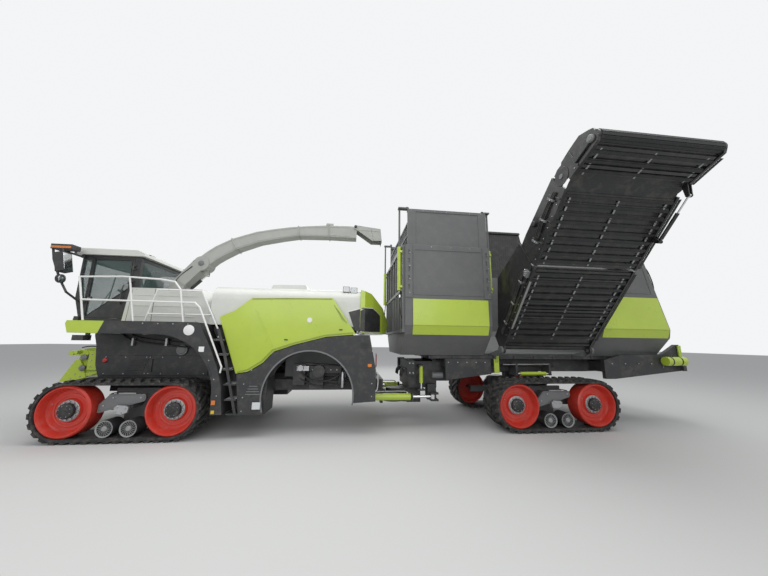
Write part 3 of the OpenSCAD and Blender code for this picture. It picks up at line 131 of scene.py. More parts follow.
def surface(name, color, rough=0.4, metal=0.0, coat=0.0, var=0.1, scale=2.5, dust=0.12, bump=0.02,
            bump_scale=140.0, stretch=None):
    """A painted, cast or rubber surface: broad tone changes, dust in patches, a fine bump and uneven gloss."""
    def fill(nt):
        tone = ramp(nt, noise(nt, scale, 5.0), (0.3, scaled(color, 1 - var)), (0.7, scaled(color, 1 + var)))
        patch = noise(nt, scale * 2.3, 8.0, 0.7)
        mask = ramp(nt, patch, (0.48, (0, 0, 0)), (0.72, (dust, dust, dust)))
        dusty = node(nt, "Mix", {0: mask, 6: tone, 7: DUST + (1,)}, data_type="RGBA")
        edge = node(nt, "Bevel", {"Radius": 0.006}, samples=4)
        grain = node(nt, "Bump", {"Strength": bump, "Distance": 0.004, "Normal": edge.outputs[0],
                                  "Height": noise(nt, bump_scale, 3.0, 0.6, stretch)})
        gloss = between(nt, patch, max(0.03, rough - 0.1), min(1.0, rough + 0.14))
        return {"Base Color": dusty.outputs[2], "Roughness": gloss, "Normal": grain.outputs[0],
                "Metallic": metal, "Coat Weight": coat, "Coat Roughness": 0.12, "IOR": 1.5}
    return painted(name, fill)


def glass(name, tint, rough=0.03, alpha=0.35):
    """Tinted cab glass, seen through by its alpha, with faint smears."""
    def fill(nt):
        smear = noise(nt, 3.0, 6.0, 0.7)
        return {"Base Color": ramp(nt, smear, (0.3, scaled(tint, 0.85)), (0.7, scaled(tint, 1.15))),
                "Roughness": between(nt, smear, rough, rough + 0.08), "Alpha": alpha, "IOR": 1.45}
    return painted(name, fill)


def lens(name, color, rough, ridges=90.0):
    """A lamp lens: coloured, ribbed plastic."""
    def fill(nt):
        wave = node(nt, "TexWave", {"Vector": node(nt, "TexCoord").outputs["Object"], "Scale": ridges}).outputs[0]
        ribs = node(nt, "Bump", {"Strength": 0.3, "Distance": 0.002, "Height": wave})
        return {"Base Color": ramp(nt, wave, (0.2, scaled(color, 0.75)), (0.8, color)),
                "Normal": ribs.outputs[0], "Roughness": rough, "Coat Weight": 0.6}
    return painted(name, fill)


LIME = (0.43, 0.56, 0.045)
SURFACES = {
    "chassis_paint": dict(color=(0.03, 0.031, 0.033), rough=0.5, dust=0.22, scale=2.0, bump=0.05),
    "housing_paint": dict(color=(0.022, 0.023, 0.025), rough=0.38, dust=0.14, bump=0.03),
    "lime_paint": dict(color=LIME, rough=0.28, coat=0.5, var=0.05, dust=0.05, bump=0.01, scale=1.3),
    "light_grey_paint": dict(color=(0.6, 0.61, 0.57), rough=0.35, coat=0.3, var=0.04, dust=0.1),
    "bunker_grey": dict(color=(0.115, 0.118, 0.118), rough=0.45, var=0.08, dust=0.12, bump=0.03),
    "spout_paint": dict(color=(0.36, 0.37, 0.34), rough=0.42, var=0.07, dust=0.14, bump=0.03),
    "rim_red": dict(color=(0.55, 0.035, 0.02), rough=0.42, coat=0.15, var=0.1, dust=0.2, bump=0.05),
    "cast_grey": dict(color=(0.17, 0.175, 0.18), rough=0.55, metal=0.3, var=0.15, dust=0.25, bump=0.25,
                      bump_scale=90.0),
    "dark_plastic": dict(color=(0.028, 0.029, 0.031), rough=0.55, dust=0.16, bump=0.12, bump_scale=260.0),
    "track_rubber": dict(color=(0.022, 0.022, 0.023), rough=0.75, dust=0.35, scale=5.0, bump=0.3, bump_scale=120.0),
    "white_tube": dict(color=(0.78, 0.78, 0.76), rough=0.32, coat=0.3, var=0.03, dust=0.08),
    "rod_chrome": dict(color=(0.72, 0.72, 0.74), rough=0.1, metal=1.0, var=0.03, dust=0.03, bump=0.01,
                       stretch=(40, 40, 1)),
    "machinery_grey": dict(color=(0.33, 0.335, 0.34), rough=0.36, metal=0.7, var=0.15, dust=0.2, bump=0.15),
    "seat_fabric": dict(color=(0.035, 0.038, 0.045), rough=0.9, dust=0.06, bump=0.5, bump_scale=700.0),
    "black_paint": dict(color=(0.012, 0.012, 0.013), rough=0.3, coat=0.3, dust=0.12, bump=0.02),
    "yellow_mark": dict(color=(0.72, 0.5, 0.02), rough=0.4, var=0.05, dust=0.05),
    "mirror_glass": dict(color=(0.7, 0.72, 0.74), rough=0.05, metal=1.0, var=0.02, dust=0.02, bump=0.0),
    "white_plate": dict(color=(0.8, 0.8, 0.79), rough=0.4, var=0.03, dust=0.06),
    "hub_nut": dict(color=(0.42, 0.42, 0.43), rough=0.32, metal=0.9, var=0.12, dust=0.15, bump=0.05),
    "hub_black": dict(color=(0.02, 0.021, 0.022), rough=0.42, dust=0.18, bump=0.05),
    "spoke_grey": dict(color=(0.3, 0.31, 0.31), rough=0.55, var=0.12, dust=0.25, bump=0.15),
    "casting_light": dict(color=(0.4, 0.41, 0.42), rough=0.42, metal=0.6, var=0.12, dust=0.2, bump=0.2),
    "hose_rubber": dict(color=(0.018, 0.018, 0.019), rough=0.6, dust=0.25, bump=0.2, bump_scale=300.0),
    "seal_rubber": dict(color=(0.012, 0.012, 0.013), rough=0.7, dust=0.15, bump=0.1),
    # Darker copy of the lime paint: painted shade for folds, the strip under the panel rib, and darker lime lines
    # and patches
    "lime_painted_shade": dict(color=scaled(LIME, 0.62), rough=0.32, coat=0.4, var=0.05, dust=0.08, bump=0.01),
    "rim_edge": dict(color=(0.16, 0.165, 0.17), rough=0.4, var=0.08, dust=0.15, bump=0.03),
    "slat_steel": dict(color=(0.02, 0.021, 0.022), rough=0.45, metal=0.2, var=0.15, dust=0.08, bump=0.08),
}
M = {name: surface(name, **look) for name, look in SURFACES.items()}
M["cab_glass"] = glass("cab_glass", (0.1, 0.16, 0.15))
for name, color, rough in (("orange_lens", (0.75, 0.2, 0.01), 0.25), ("red_lens", (0.55, 0.01, 0.01), 0.25),
                           ("clear_lens", (0.72, 0.74, 0.76), 0.15)):
    M[name] = lens(name, color, rough)

slot_of = {s["node"]: s["material_slot"] for s in frame["record"]["subparts"]}
for name, ob in frame["nodes"].items():
    ob.data.materials.clear()
    ob.data.materials.append(M[slot_of[name]])
    for poly in ob.data.polygons:
        poly.material_index = 0

# Driving sizes

REAR = -8.66                    # axle unit under the bunker
FRONT_ARCH = (-0.45, 0.8)       # centre of the fender's arch, as (x, z)
REAR_ARCH = (-3.35, 0.75)       # centre of the empty arch in the lower body
# Outer faces that details sit on, as distances from the middle plane
FENDER_Y, BODY_Y, PANEL_Y, COVER_Y = 1.5, 1.4, 1.3702, 1.0105
DRUM_Y, CAB_Y, DOOR_Y = 0.838, 0.882, 0.8815
WALL_Y, SPOUT_Y, FLAP_Y = 1.4802, 0.1592, 0.1712
SIDES = (1, -1)
OUT = (0, 1, 0)

# Shapes for the detail pieces


def ring(at, r, n, first=0.0):
    """Places at radius r round a point, in the plane of the machine's side."""
    turns = [first + 2 * math.pi * k / n for k in range(n)]
    return [Vector(at) + Vector((r * math.cos(a), 0, r * math.sin(a))) for a in turns]


def arc_plate(at, r0, r1, a, b):
    """Outline of a short plate between two radii and two turns round a point of the side view."""
    return [(at[0] + r * math.cos(t), at[1] + r * math.sin(t)) for r, t in ((r0, a), (r1, a), (r1, b), (r0, b))]


def turned(axis):
    """Matrix that turns +Z to the given direction."""
    return Vector(axis).to_track_quat("Z", "Y").to_matrix().to_4x4()


def mesh_object(name, bm, mats, sharp=None, xf=None):
    """Turns a bmesh into an object; with a sharp angle in degrees it is smooth below that angle."""
    me = bpy.data.meshes.new(name)
    bm.to_mesh(me)
    bm.free()
    if xf:
        me.transform(xf)
    for mat in mats:
        me.materials.append(M[mat])
    if sharp:
        me.shade_smooth()
        me.set_sharp_from_angle(angle=math.radians(sharp))
    ob = bpy.data.objects.new(name, me)
    scene.collection.objects.link(ob)
    return ob


class Piece:
    """Gathers shapes into one mesh that rides one body; each shape keeps its own material."""

    def __init__(self, name, body, xf=None):
        self.name, self.body, self.xf = name, body, xf
        self.bm = bmesh.new()
        self.mats = []

    def paint(self, faces, mat):
        if mat not in self.mats:
            self.mats.append(mat)
        for f in faces:
            f.material_index = self.mats.index(mat)

    def box(self, a, b, mat, turn=None):
        a, b = Vector(a), Vector(b)
        m = Matrix.Translation((a + b) / 2) @ (turn.to_4x4() if turn else Matrix()) @ Matrix.Diagonal(
            (abs(b.x - a.x), abs(b.y - a.y), abs(b.z - a.z), 1))
        g = bmesh.ops.create_cube(self.bm, size=1, matrix=m)
        self.paint({f for v in g["verts"] for f in v.link_faces}, mat)
        return self

    def prism(self, pts, lo, hi, mat, axis="y"):
        """An outline given thickness: (x, z) along Y, (y, z) along X or (x, y) along Z."""
        put = {"y": lambda p, t: (p[0], t, p[1]), "x": lambda p, t: (t, p[0], p[1]),
               "z": lambda p, t: (p[0], p[1], t)}[axis]
        low = [self.bm.verts.new(put(p, lo)) for p in pts]
        high = [self.bm.verts.new(put(p, hi)) for p in pts]
        n = len(pts)
        faces = [self.bm.faces.new(low), self.bm.faces.new(list(reversed(high)))]
        for i in range(n):
            j = (i + 1) % n
            faces.append(self.bm.faces.new((low[j], low[i], high[i], high[j])))
        self.paint(faces, mat)
        return self

    def rod(self, a, b, r, mat, n=16, r2=None):
        a, b = Vector(a), Vector(b)
        m = Matrix.Translation((a + b) / 2) @ turned(b - a)
        g = bmesh.ops.create_cone(self.bm, cap_ends=True, segments=n, radius1=r, radius2=r if r2 is None else r2,
                                  depth=(b - a).length, matrix=m)
        self.paint({f for v in g["verts"] for f in v.link_faces}, mat)
        return self

    def band(self, p, q):
        """Faces between two closed rows of vertices; a row of one vertex is a tip."""
        n = max(len(p), len(q))
        quads = [(p[k % len(p)], q[k % len(q)], q[(k + 1) % n % len(q)], p[(k + 1) % n % len(p)]) for k in range(n)]
        return [self.bm.faces.new(list(dict.fromkeys(quad))) for quad in quads]

    def lathe(self, at, axis, profile, mat, n=40):
        """A closed profile of (radius, distance along the axis) turned round the axis at a point."""
        m = Matrix.Translation(at) @ turned(axis)
        turns = [2 * math.pi * k / n for k in range(n)]
        hoops = [[self.bm.verts.new(m @ Vector((r * math.cos(a), r * math.sin(a), d)))
                  for a in (turns if r else [0])] for r, d in profile]
        faces = []
        for p, q in zip(hoops, hoops[1:]):
            if len(p) > 1 or len(q) > 1:
                faces += self.band(p, q)
        self.paint(faces, mat)
        return self

    def pipe(self, pts, r, mat="hose_rubber", n=10, soft=3):
        """A round pipe through points, with its corners rounded by subdivision."""
        line = [Vector(p) for p in pts]
        for _ in range(soft):
            out = [line[0]]
            for p, q in zip(line, line[1:]):
                out += [p.lerp(q, 0.25), p.lerp(q, 0.75)]
            line = out + [line[-1]]
        last_hoop, faces, side = None, [], None
        for i, p in enumerate(line):
            d = (line[min(i + 1, len(line) - 1)] - line[max(i - 1, 0)]).normalized()
            if side is None:
                side = d.orthogonal().normalized()
            side = (side - d * side.dot(d)).normalized()
            over = d.cross(side)
            turns = [2 * math.pi * k / n for k in range(n)]
            hoop = [self.bm.verts.new(p + r * (side * math.cos(a) + over * math.sin(a))) for a in turns]
            if last_hoop:
                faces += self.band(last_hoop, hoop)
            else:
                faces.append(self.bm.faces.new(hoop))
            last_hoop = hoop
        faces.append(self.bm.faces.new(list(reversed(last_hoop))))
        self.paint(faces, mat)
        return self

    def bolts(self, places, axis, r, h=0.008, mat="hub_nut", n=6):
        for p in places:
            self.rod(p, Vector(p) + Vector(axis).normalized() * h, r, mat, n)
        return self

    @contextmanager
    def both_sides(self):
        """What is added inside is made on the left side, and again, mirrored, on the right."""
        before = set(self.bm.verts) | set(self.bm.faces)
        yield
        verts = [v for v in self.bm.verts if v not in before]
        faces = [f for f in self.bm.faces if f not in before]
        twin = {v: self.bm.verts.new((v.co.x, -v.co.y, v.co.z)) for v in verts}
        for f in faces:
            self.bm.faces.new([twin[v] for v in f.verts]).material_index = f.material_index

    def done(self, bevel=0.003, angle=35):
        bmesh.ops.recalc_face_normals(self.bm, faces=self.bm.faces)
        ob = mesh_object(self.name, self.bm, self.mats, angle, self.xf)
        if bevel:
            mod = ob.modifiers.new("bevel", "BEVEL")
            mod.width = bevel
            mod.segments = 2
            mod.limit_method = "ANGLE"
            mod.angle_limit = math.radians(40)
            mod.harden_normals = False
        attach(ob, self.body)
        return ob


# Tracks: belts with chevron lugs

BASE, WHEEL_R, AXLE = 1.8, 0.4553, 0.54
BELT_T, BELT_IN, BELT_OUT = 0.0447, 0.865, 1.5
LUG_H, LUGS, BELT_STEPS = 0.04, 40, 150
HUB_Y, ROLLER_Y, ROLLER_Z = 1.3555, 1.428, 0.2353
LOOP_R = WHEEL_R + BELT_T
LOOP_LEN = 2 * BASE + 2 * math.pi * LOOP_R


def on_loop(s, h):
    """Point at distance s round the belt's outer face and h out from it, as (x, z)."""
    s %= LOOP_LEN
    r = LOOP_R + h
    if s < BASE:
        return s - BASE / 2, AXLE + r
    s -= BASE
    if s < math.pi * LOOP_R:
        a = s / LOOP_R
        return BASE / 2 + r * math.sin(a), AXLE + r * math.cos(a)
    s -= math.pi * LOOP_R
    if s < BASE:
        return BASE / 2 - s, AXLE - r
    a = math.pi + (s - BASE) / LOOP_R
    return -BASE / 2 + r * math.sin(a), AXLE + r * math.cos(a)


def belt(name, body, x0, side, node):
    """Belt with two rows of slanting lugs that meet at its middle; it takes the place of a node."""
    p = Piece(name, body)
    vert, face = p.bm.verts.new, p.bm.faces.new
    y_in, y_out = side * BELT_IN, side * BELT_OUT
    y_mid = (y_in + y_out) / 2
    rows, faces = [], []
    for i in range(BELT_STEPS):
        s = i * LOOP_LEN / BELT_STEPS
        (xa, za), (xb, zb) = on_loop(s, 0), on_loop(s, -BELT_T)
        rows.append([vert((x0 + xa, y_in, za)), vert((x0 + xa, y_out, za)),
                     vert((x0 + xb, y_out, zb)), vert((x0 + xb, y_in, zb))])
    for a, b in zip(rows, rows[1:] + rows[:1]):
        faces += p.band(a, b)
    pitch = LOOP_LEN / LUGS
    for i in range(LUGS):
        for end, phase in ((y_out, 0.0), (y_in, 0.5)):
            rows = []
            for k in range(6):
                t = k / 5
                y = end + (y_mid - end) * t * 0.97
                s = (i + phase) * pitch - 0.05 + 0.15 * t
                half = 0.034 if k else 0.042
                top = LUG_H if 0 < k < 5 else LUG_H * 0.86
                rows.append([vert((x0 + x, y, z)) for x, z in (
                    on_loop(s - half - 0.014, -0.004), on_loop(s - half, top), on_loop(s + half, top),
                    on_loop(s + half + 0.014, -0.004))])
            for a, b in zip(rows, rows[1:]):
                faces += p.band(a, b)
            faces += [face(rows[0]), face(list(reversed(rows[-1])))]
    p.paint(faces, "track_rubber")
    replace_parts(p.done(0, 28), node)


for end, body, x0 in (("front", "harvester", 0.0), ("rear", "bunker", REAR)):
    for side, word in ((1, "left"), (-1, "right")):
        belt(f"{end}_belt_{word}_tread", body, x0, side, f"{end}_belt_{word}")
    hubs = Piece(f"{end}_hubs", body)
    spokes = Piece(f"{end}_roller_faces", body)
    arms = Piece(f"{end}_arm_details", body)
    with hubs.both_sides(), spokes.both_sides(), arms.both_sides():
        for dx in (-BASE / 2, BASE / 2):
            at = Vector((x0 + dx, HUB_Y, AXLE))
            hubs.lathe(at, OUT, [(0.128, 0), (0.188, 0), (0.188, 0.006), (0.18, 0.01), (0.128, 0.01), (0.128, 0)],
                       "machinery_grey", 48)
            hubs.bolts(ring(at + Vector((0, 0.009, 0)), 0.158, 12), OUT, 0.021, 0.022)
            hubs.lathe(at, OUT, [(0, 0.094), (0.05, 0.094), (0.055, 0.087), (0.085, 0.085), (0.121, 0.08),
                                 (0.1335, 0.068), (0.1335, 0.0), (0.131, 0)], "hub_black", 40)
            hubs.bolts(ring(at + Vector((0, 0.08, 0)), 0.1, 8, 0.3), OUT, 0.007, 0.012)
            # Valve and a shallow ring in the dish
            hubs.rod(at + Vector((0.27, -0.04, 0.12)), at + Vector((0.27, 0.02, 0.12)), 0.007, "rod_chrome", 10)
            hubs.lathe(at + Vector((0, -0.037, 0)), OUT, [(0.255, 0), (0.3, 0), (0.3, 0.006), (0.294, 0.01),
                       (0.261, 0.01), (0.255, 0.006), (0.255, 0)], "rim_red", 56)
        for dx in (-0.2, 0.2):
            at = Vector((x0 + dx, ROLLER_Y, ROLLER_Z))
            spokes.lathe(at, OUT, [(0.124, 0), (0.142, 0.01), (0.146, 0.012), (0.146, 0.016), (0.134, 0.014),
                                   (0.124, 0.006), (0.124, 0)], "spoke_grey", 40)
            # Bowed spokes
            rows = [ring(at + Vector((0, lift, 0)), r, 18, first) for r, lift, first in (
                (0.045, -0.004, 0.0), (0.09, 0.003, 0.25), (0.13, 0.006, 0.0))]
            for path in zip(*rows):
                spokes.pipe(path, 0.0042, "spoke_grey", 6, 1)
            spokes.lathe(at, OUT, [(0, 0.022), (0.032, 0.022), (0.044, 0.01), (0.05, 0), (0.05, -0.01)],
                         "spoke_grey", 24)
        y = 1.401
        arms.prism([(x0 - 0.118, 0.51), (x0 - 0.128, 0.588), (x0 - 0.09, 0.621), (x0 + 0.07, 0.636),
                    (x0 + 0.12, 0.588), (x0 + 0.1, 0.486), (x0 - 0.02, 0.466)], y, y + 0.008, "casting_light")
        arms.bolts([(x0 - 0.08, y + 0.006, 0.575), (x0 - 0.02, y + 0.006, 0.5),
                    (x0 + 0.06, y + 0.006, 0.6), (x0 + 0.08, y + 0.006, 0.52)], OUT, 0.014, 0.014)
        y = 1.351
        arms.prism([(x0 - 0.34, 0.742), (x0 - 0.33, 0.8), (x0 + 0.24, 0.8), (x0 + 0.39, 0.645), (x0 + 0.4, 0.53),
                    (x0 + 0.19, 0.585), (x0 - 0.04, 0.632), (x0 - 0.32, 0.7)], y, y + 0.006, "cast_grey")
        arms.bolts([(x0 - 0.29, y + 0.004, 0.76), (x0 + 0.33, y + 0.004, 0.62),
                    (x0 + 0.18, y + 0.004, 0.76)], OUT, 0.018, 0.016)
        arms.box((x0 - 0.18, 1.3, 0.822), (x0 + 0.12, 1.345, 0.846), "casting_light")
        arms.pipe([(x0 - 0.3, 1.36, 0.83), (x0 - 0.12, 1.37, 0.87), (x0 + 0.2, 1.36, 0.85),
                   (x0 + 0.3, 1.3, 0.8)], 0.009)
    hubs.done(0.0025)
    spokes.done(0)
    arms.done(0.004)

# Fenders and drum housing

p = Piece("fender_details", "harvester")
with p.both_sides():
    y = FENDER_Y
    p.lathe((-1.04, y, 2.02), OUT, [(0, 0), (0.1, 0), (0.1, 0.004), (0.095, 0.006), (0, 0.006)], "white_plate", 40)
    p.box((-1.36, y, 1.61), (-1.26, y + 0.004, 1.71), "white_plate")
    p.box((-1.67, y, 0.64), (-1.6, y + 0.012, 0.72), "orange_lens")
    p.box((-1.67, y, 0.48), (-1.61, y + 0.005, 0.54), "yellow_mark")
    # Rolled lower edge of the arch, as a row of short plates
    for k in range(16):
        a, b = math.radians(162 - 5.2 * k), math.radians(162 - 5.2 * (k + 1))
        p.prism(arc_plate(FRONT_ARCH, 1.132, 1.162, a, b), y - 0.02, y + 0.008, "housing_paint")
    p.bolts([(-0.2 - 0.27 * k, y, 2.135) for k in range(4)] + [(-1.47, y, 1.45), (-1.6, y, 1.1), (-1.68, y, 0.8)],
            OUT, 0.012)
    p.box((0.4, y - 0.09, 2.171), (-1.15, y - 0.02, 2.178), "dark_plastic")
# Tread plate pattern on the platforms
for side in SIDES:
    for i in range(22):
        for j in range(7):
            x, y = 0.36 - i * 0.068, side * (1.06 + j * 0.052)
            turn = Matrix.Rotation(0.7 if (i + j) % 2 else -0.7, 3, "Z")
            p.box((x - 0.016, y - 0.004, 2.17), (x + 0.016, y + 0.004, 2.175), "housing_paint", turn)
p.done(0.002)

p = Piece("front_corner_lamps", "harvester")
with p.both_sides():
    p.box((0.8, 1.3, 1.8), (0.99, 1.478, 1.9), "dark_plastic")
    p.box((0.985, 1.32, 1.815), (0.999, 1.46, 1.885), "clear_lens")
    p.box((0.8, 1.33, 1.89), (0.86, 1.37, 1.96), "cast_grey")
    # Folding lamp bracket on the tip
    p.box((0.98, 1.36, 2.14), (1.06, 1.44, 2.25), "black_paint")
    p.lathe((1.06, 1.4, 2.195), (1, 0, 0), [(0, 0.02), (0.03, 0.018), (0.042, 0.008), (0.044, 0), (0, 0)],
            "clear_lens", 24)
    p.pipe([(0.99, 1.4, 2.14), (0.97, 1.4, 2.05), (0.9, 1.38, 1.98)], 0.012, "cast_grey")
p.done(0.006)

p = Piece("drum_housing_details", "harvester")
with p.both_sides():
    y = DRUM_Y
    p.lathe((0.83, y, 1.4), OUT, [(0, 0.022), (0.035, 0.02), (0.045, 0.01), (0.048, 0), (0, 0)], "red_lens", 28)
    p.lathe((0.83, y, 1.4), OUT, [(0.048, 0), (0.056, 0), (0.056, 0.008), (0.048, 0.008)], "black_paint", 28)
    for k in range(5):
        p.box((0.4 - 0.02 * k, y, 1.2 + 0.05 * k), (0.08 - 0.02 * k, y + 0.012, 1.222 + 0.05 * k),
              "housing_paint")
    p.bolts([(x, y, z) for x in (0.82, 0.45, 0.05, -0.02, -0.26, -0.6, -1.1) for z in (1.135, 1.465)], OUT, 0.013)
    p.pipe([(0.62, y, 1.95), (0.4, y + 0.04, 1.8), (-0.3, y + 0.05, 1.72), (-0.95, y + 0.04, 1.66),
            (-1.3, y, 1.5)], 0.016)
    p.pipe([(0.5, y, 2.0), (0.3, y + 0.02, 1.86), (-0.4, y + 0.03, 1.79), (-1.2, y, 1.75)], 0.012)
    for x in (0.35, -0.3, -0.9):
        p.box((x, y, 1.7), (x - 0.04, y + 0.07, 1.86), "hub_nut")
    # Gearbox with a flange and a belt guard behind the disc wheel
    p.lathe((-0.62, y, 1.62), OUT, [(0, 0.03), (0.07, 0.03), (0.08, 0.02), (0.11, 0.02), (0.11, 0), (0, 0)],
            "cast_grey", 36)
    p.bolts(ring((-0.62, y + 0.018, 1.62), 0.095, 6, 0.5), OUT, 0.009)
p.done(0.004)

# Cab

p = Piece("cab_trim", "harvester")
with p.both_sides():
    y = CAB_Y
    # Handrail beside the windscreen and edge seals of the corner window
    p.pipe([(1.47, y + 0.02, 2.7), (1.5, y + 0.05, 2.8), (1.53, y + 0.05, 3.2),
            (1.54, y + 0.02, 3.32)], 0.011, "black_paint")
    p.box((0.4, y - 0.002, 3.5), (0.52, y + 0.01, 3.56), "black_paint")
# Rubber strip round the roof, work lamps under its front edge and roof seams
for k in range(5):
    yy = -0.72 + 0.36 * k
    p.box((1.8, yy - 0.075, 3.612), (1.856, yy + 0.075, 3.7), "black_paint")
    p.lathe((1.856, yy, 3.656), (1, 0, 0), [(0, 0.01), (0.03, 0.009), (0.036, 0.003), (0.037, 0), (0, 0)],
            "clear_lens", 24)
with p.both_sides():
    p.box((0.4, 0.75, 3.612), (0.352, 0.6, 3.69), "black_paint")
    p.box((0.35, 0.735, 3.622), (0.343, 0.615, 3.68), "clear_lens")
# Wiper: pivot, arm and blade resting on the windscreen
p.rod((1.57, 0.18, 2.52), (1.62, 0.18, 2.52), 0.028, "black_paint", 20)
p.pipe([(1.62, 0.18, 2.52), (1.66, 0.12, 2.62), (1.7, -0.05, 2.86), (1.7, -0.16, 3.02)], 0.009, "black_paint")
p.box((1.7, -0.145, 2.66), (1.716, -0.165, 3.4), "seal_rubber", Matrix.Rotation(math.radians(-7), 3, "Y"))
p.done(0.003)

p = Piece("mirror_glasses", "harvester")
with p.both_sides():
    t = Matrix.Rotation(math.radians(14), 3, "Y")
    c = Vector((1.54, 1.32, 3.31))
    at, half = c + t @ Vector((-0.077, 0, 0.005)), Vector((0.003, 0.085, 0.17))
    p.box(at - half, at + half, "mirror_glass", t)
    p.lathe((1.534, 1.29, 2.99), (-1, 0, 0), [(0, 0.014), (0.05, 0.011), (0.078, 0.0), (0, 0)], "mirror_glass", 32)
    p.box((1.49, 1.292, 3.615), (1.85, 1.297, 3.66), "orange_lens")
    p.lathe((1.862, 1.19, 3.65), (1, 0, 0), [(0, 0.012), (0.03, 0.01), (0.036, 0.002), (0.038, 0), (0, 0)],
            "clear_lens", 24)
    p.bolts([(1.62, 1.25, 3.012)], OUT, 0.024, 0.03, "black_paint", 12)
p.done(0.002)

p = Piece("door_details", "cab_door")
y = DOOR_Y
p.pipe([(0.69, y + 0.006, 2.56), (0.69, y + 0.045, 2.6), (0.69, y + 0.045, 2.92), (0.69, y + 0.006, 2.97)], 0.012,
       "black_paint")
p.box((1.26, y, 2.62), (1.345, y + 0.016, 2.7), "black_paint")
p.box((1.275, y + 0.016, 2.645), (1.33, y + 0.032, 2.675), "hub_nut")
p.bolts([(0.612, y, z) for z in (2.99, 3.34)], OUT, 0.01)
p.done(0.003)

p = Piece("door_pane", "cab_door")
p.prism([(0.598, 2.897), (0.598, 3.513), (1.342, 3.513), (1.342, 2.298), (1.308, 2.298)], 0.86, 0.866, "cab_glass")
p.done(0)

# Thin rubber seal round the door pane
p = Piece("door_seal", "cab_door")
corners = [(x, DOOR_Y, z) for x, z in ((0.602, 2.9), (0.602, 3.51), (1.338, 3.51), (1.338, 2.302), (1.312, 2.302))]
for a, b in zip(corners, corners[1:] + corners[:1]):
    p.rod(a, b, 0.006, "seal_rubber", 8)
p.done(0)

# Seat, cushions and controls
for name, a, b in (("seat_cushion", (0.7, -0.24, 2.64), (1.17, 0.24, 2.76)),
                   ("seat_back", (0.655, -0.23, 2.76), (0.8, 0.23, 3.3)),
                   ("head_rest", (0.62, -0.13, 3.31), (0.71, 0.13, 3.46))):
    c, h = (Vector(a) + Vector(b)) / 2, (Vector(b) - Vector(a)) / 2
    bm = bmesh.new()
    bmesh.ops.create_cube(bm, size=2)
    bmesh.ops.subdivide_edges(bm, edges=bm.edges[:], cuts=15, use_grid_fill=True)
    for v in bm.verts:
        # Crowned form, with sewn channels across and along it
        v.co *= (abs(v.co.x) ** 6 + abs(v.co.y) ** 6 + abs(v.co.z) ** 6) ** (-1 / 6)
        thick = 1.0
        if name != "head_rest":
            run = v.co.x if name == "seat_cushion" else v.co.z
            thick -= 0.16 * math.exp(-((abs(v.co.y) - 0.55) / 0.07) ** 2)
            thick -= 0.05 * math.exp(-((abs(run) - 0.33) / 0.05) ** 2)
        if name == "seat_cushion":
            v.co.z *= thick
        else:
            v.co.x *= thick
        v.co = Vector((c.x + v.co.x * h.x, c.y + v.co.y * h.y, c.z + v.co.z * h.z))
        if name == "seat_back":
            v.co.x -= (v.co.z - 2.76) * 0.09
    ob = mesh_object(name, bm, ["seat_fabric"], 180)
    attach(ob, "harvester")

p = Piece("cab_controls", "harvester")
p.box((0.8, -0.415, 2.682), (1.16, -0.285, 2.7), "dark_plastic")
p.pipe([(1.1, -0.35, 2.7), (1.12, -0.35, 2.79), (1.14, -0.35, 2.83)], 0.014, "black_paint")
p.lathe((1.145, -0.35, 2.82), (0.2, 0, 1), [(0, 0.085), (0.022, 0.08), (0.03, 0.05), (0.024, 0.01), (0.012, 0),
                                            (0, 0)],
        "black_paint", 20)
for k in range(6):
    p.box((0.86 + 0.034 * k, -0.4, 2.7), (0.88 + 0.034 * k, -0.38, 2.708),
          "yellow_mark" if k % 3 == 0 else "hub_nut")
p.rod((1.34, -0.45, 2.42), (1.3, -0.45, 2.95), 0.016, "black_paint", 12)
p.box((1.27, -0.58, 2.93), (1.3, -0.33, 3.13), "black_paint")
p.box((1.262, -0.565, 2.945), (1.27, -0.345, 3.115), "mirror_glass")
p.box((0.6, -0.2, 3.3), (0.62, -0.16, 3.36), "black_paint")
for y in (-0.09, 0.09):
    p.rod((0.655, y, 3.2), (0.645, y, 3.36), 0.008, "rod_chrome", 10)
p.box((0.62, -0.05, 2.255), (0.74, 0.05, 2.3), "dark_plastic")
p.done(0.004)

# Side covers behind the cab: seams, a latch and grooves
p = Piece("side_cover_details", "harvester")
with p.both_sides():
    y = COVER_Y
    for z in (2.3, 2.52, 2.74):
        p.box((0.38, y - 0.001, z), (-0.86, y + 0.006, z + 0.012), "light_grey_paint")
    p.box((-0.02, y - 0.001, 2.19), (-0.028, y + 0.004, 2.88), "seal_rubber")
    p.box((-0.55, y, 2.6), (-0.62, y + 0.012, 2.63), "black_paint")
    p.bolts([(x, y, z) for x in (0.34, -0.9) for z in (2.22, 2.86 if x > 0 else 2.5)], OUT, 0.01)
    p.prism([(0.46, 2.19), (0.42, 2.88), (0.415, 2.88), (0.455, 2.19)], y, y + 0.0035, "seal_rubber")
p.done(0.002)

# Anti-slip strips on the ladder's treads
p = Piece("ladder_details", "harvester")
for back, front, z in ((-2.04, -1.8, 0.7), (-1.99, -1.755, 0.98), (-1.88, -1.67, 1.26), (-1.76, -1.545, 1.54),
                       (-1.65, -1.43, 1.82)):
    for k in range(9):
        y = 1.15 + 0.03 * k
        p.box((back + 0.02, y, z + 0.03), (front - 0.02, y + 0.01, z + 0.036), "machinery_grey")
    p.box((back - 0.002, 1.13, z + 0.004), (back, 1.41, z + 0.026), "machinery_grey")
p.done(0)

# Hood, side panels and lower body

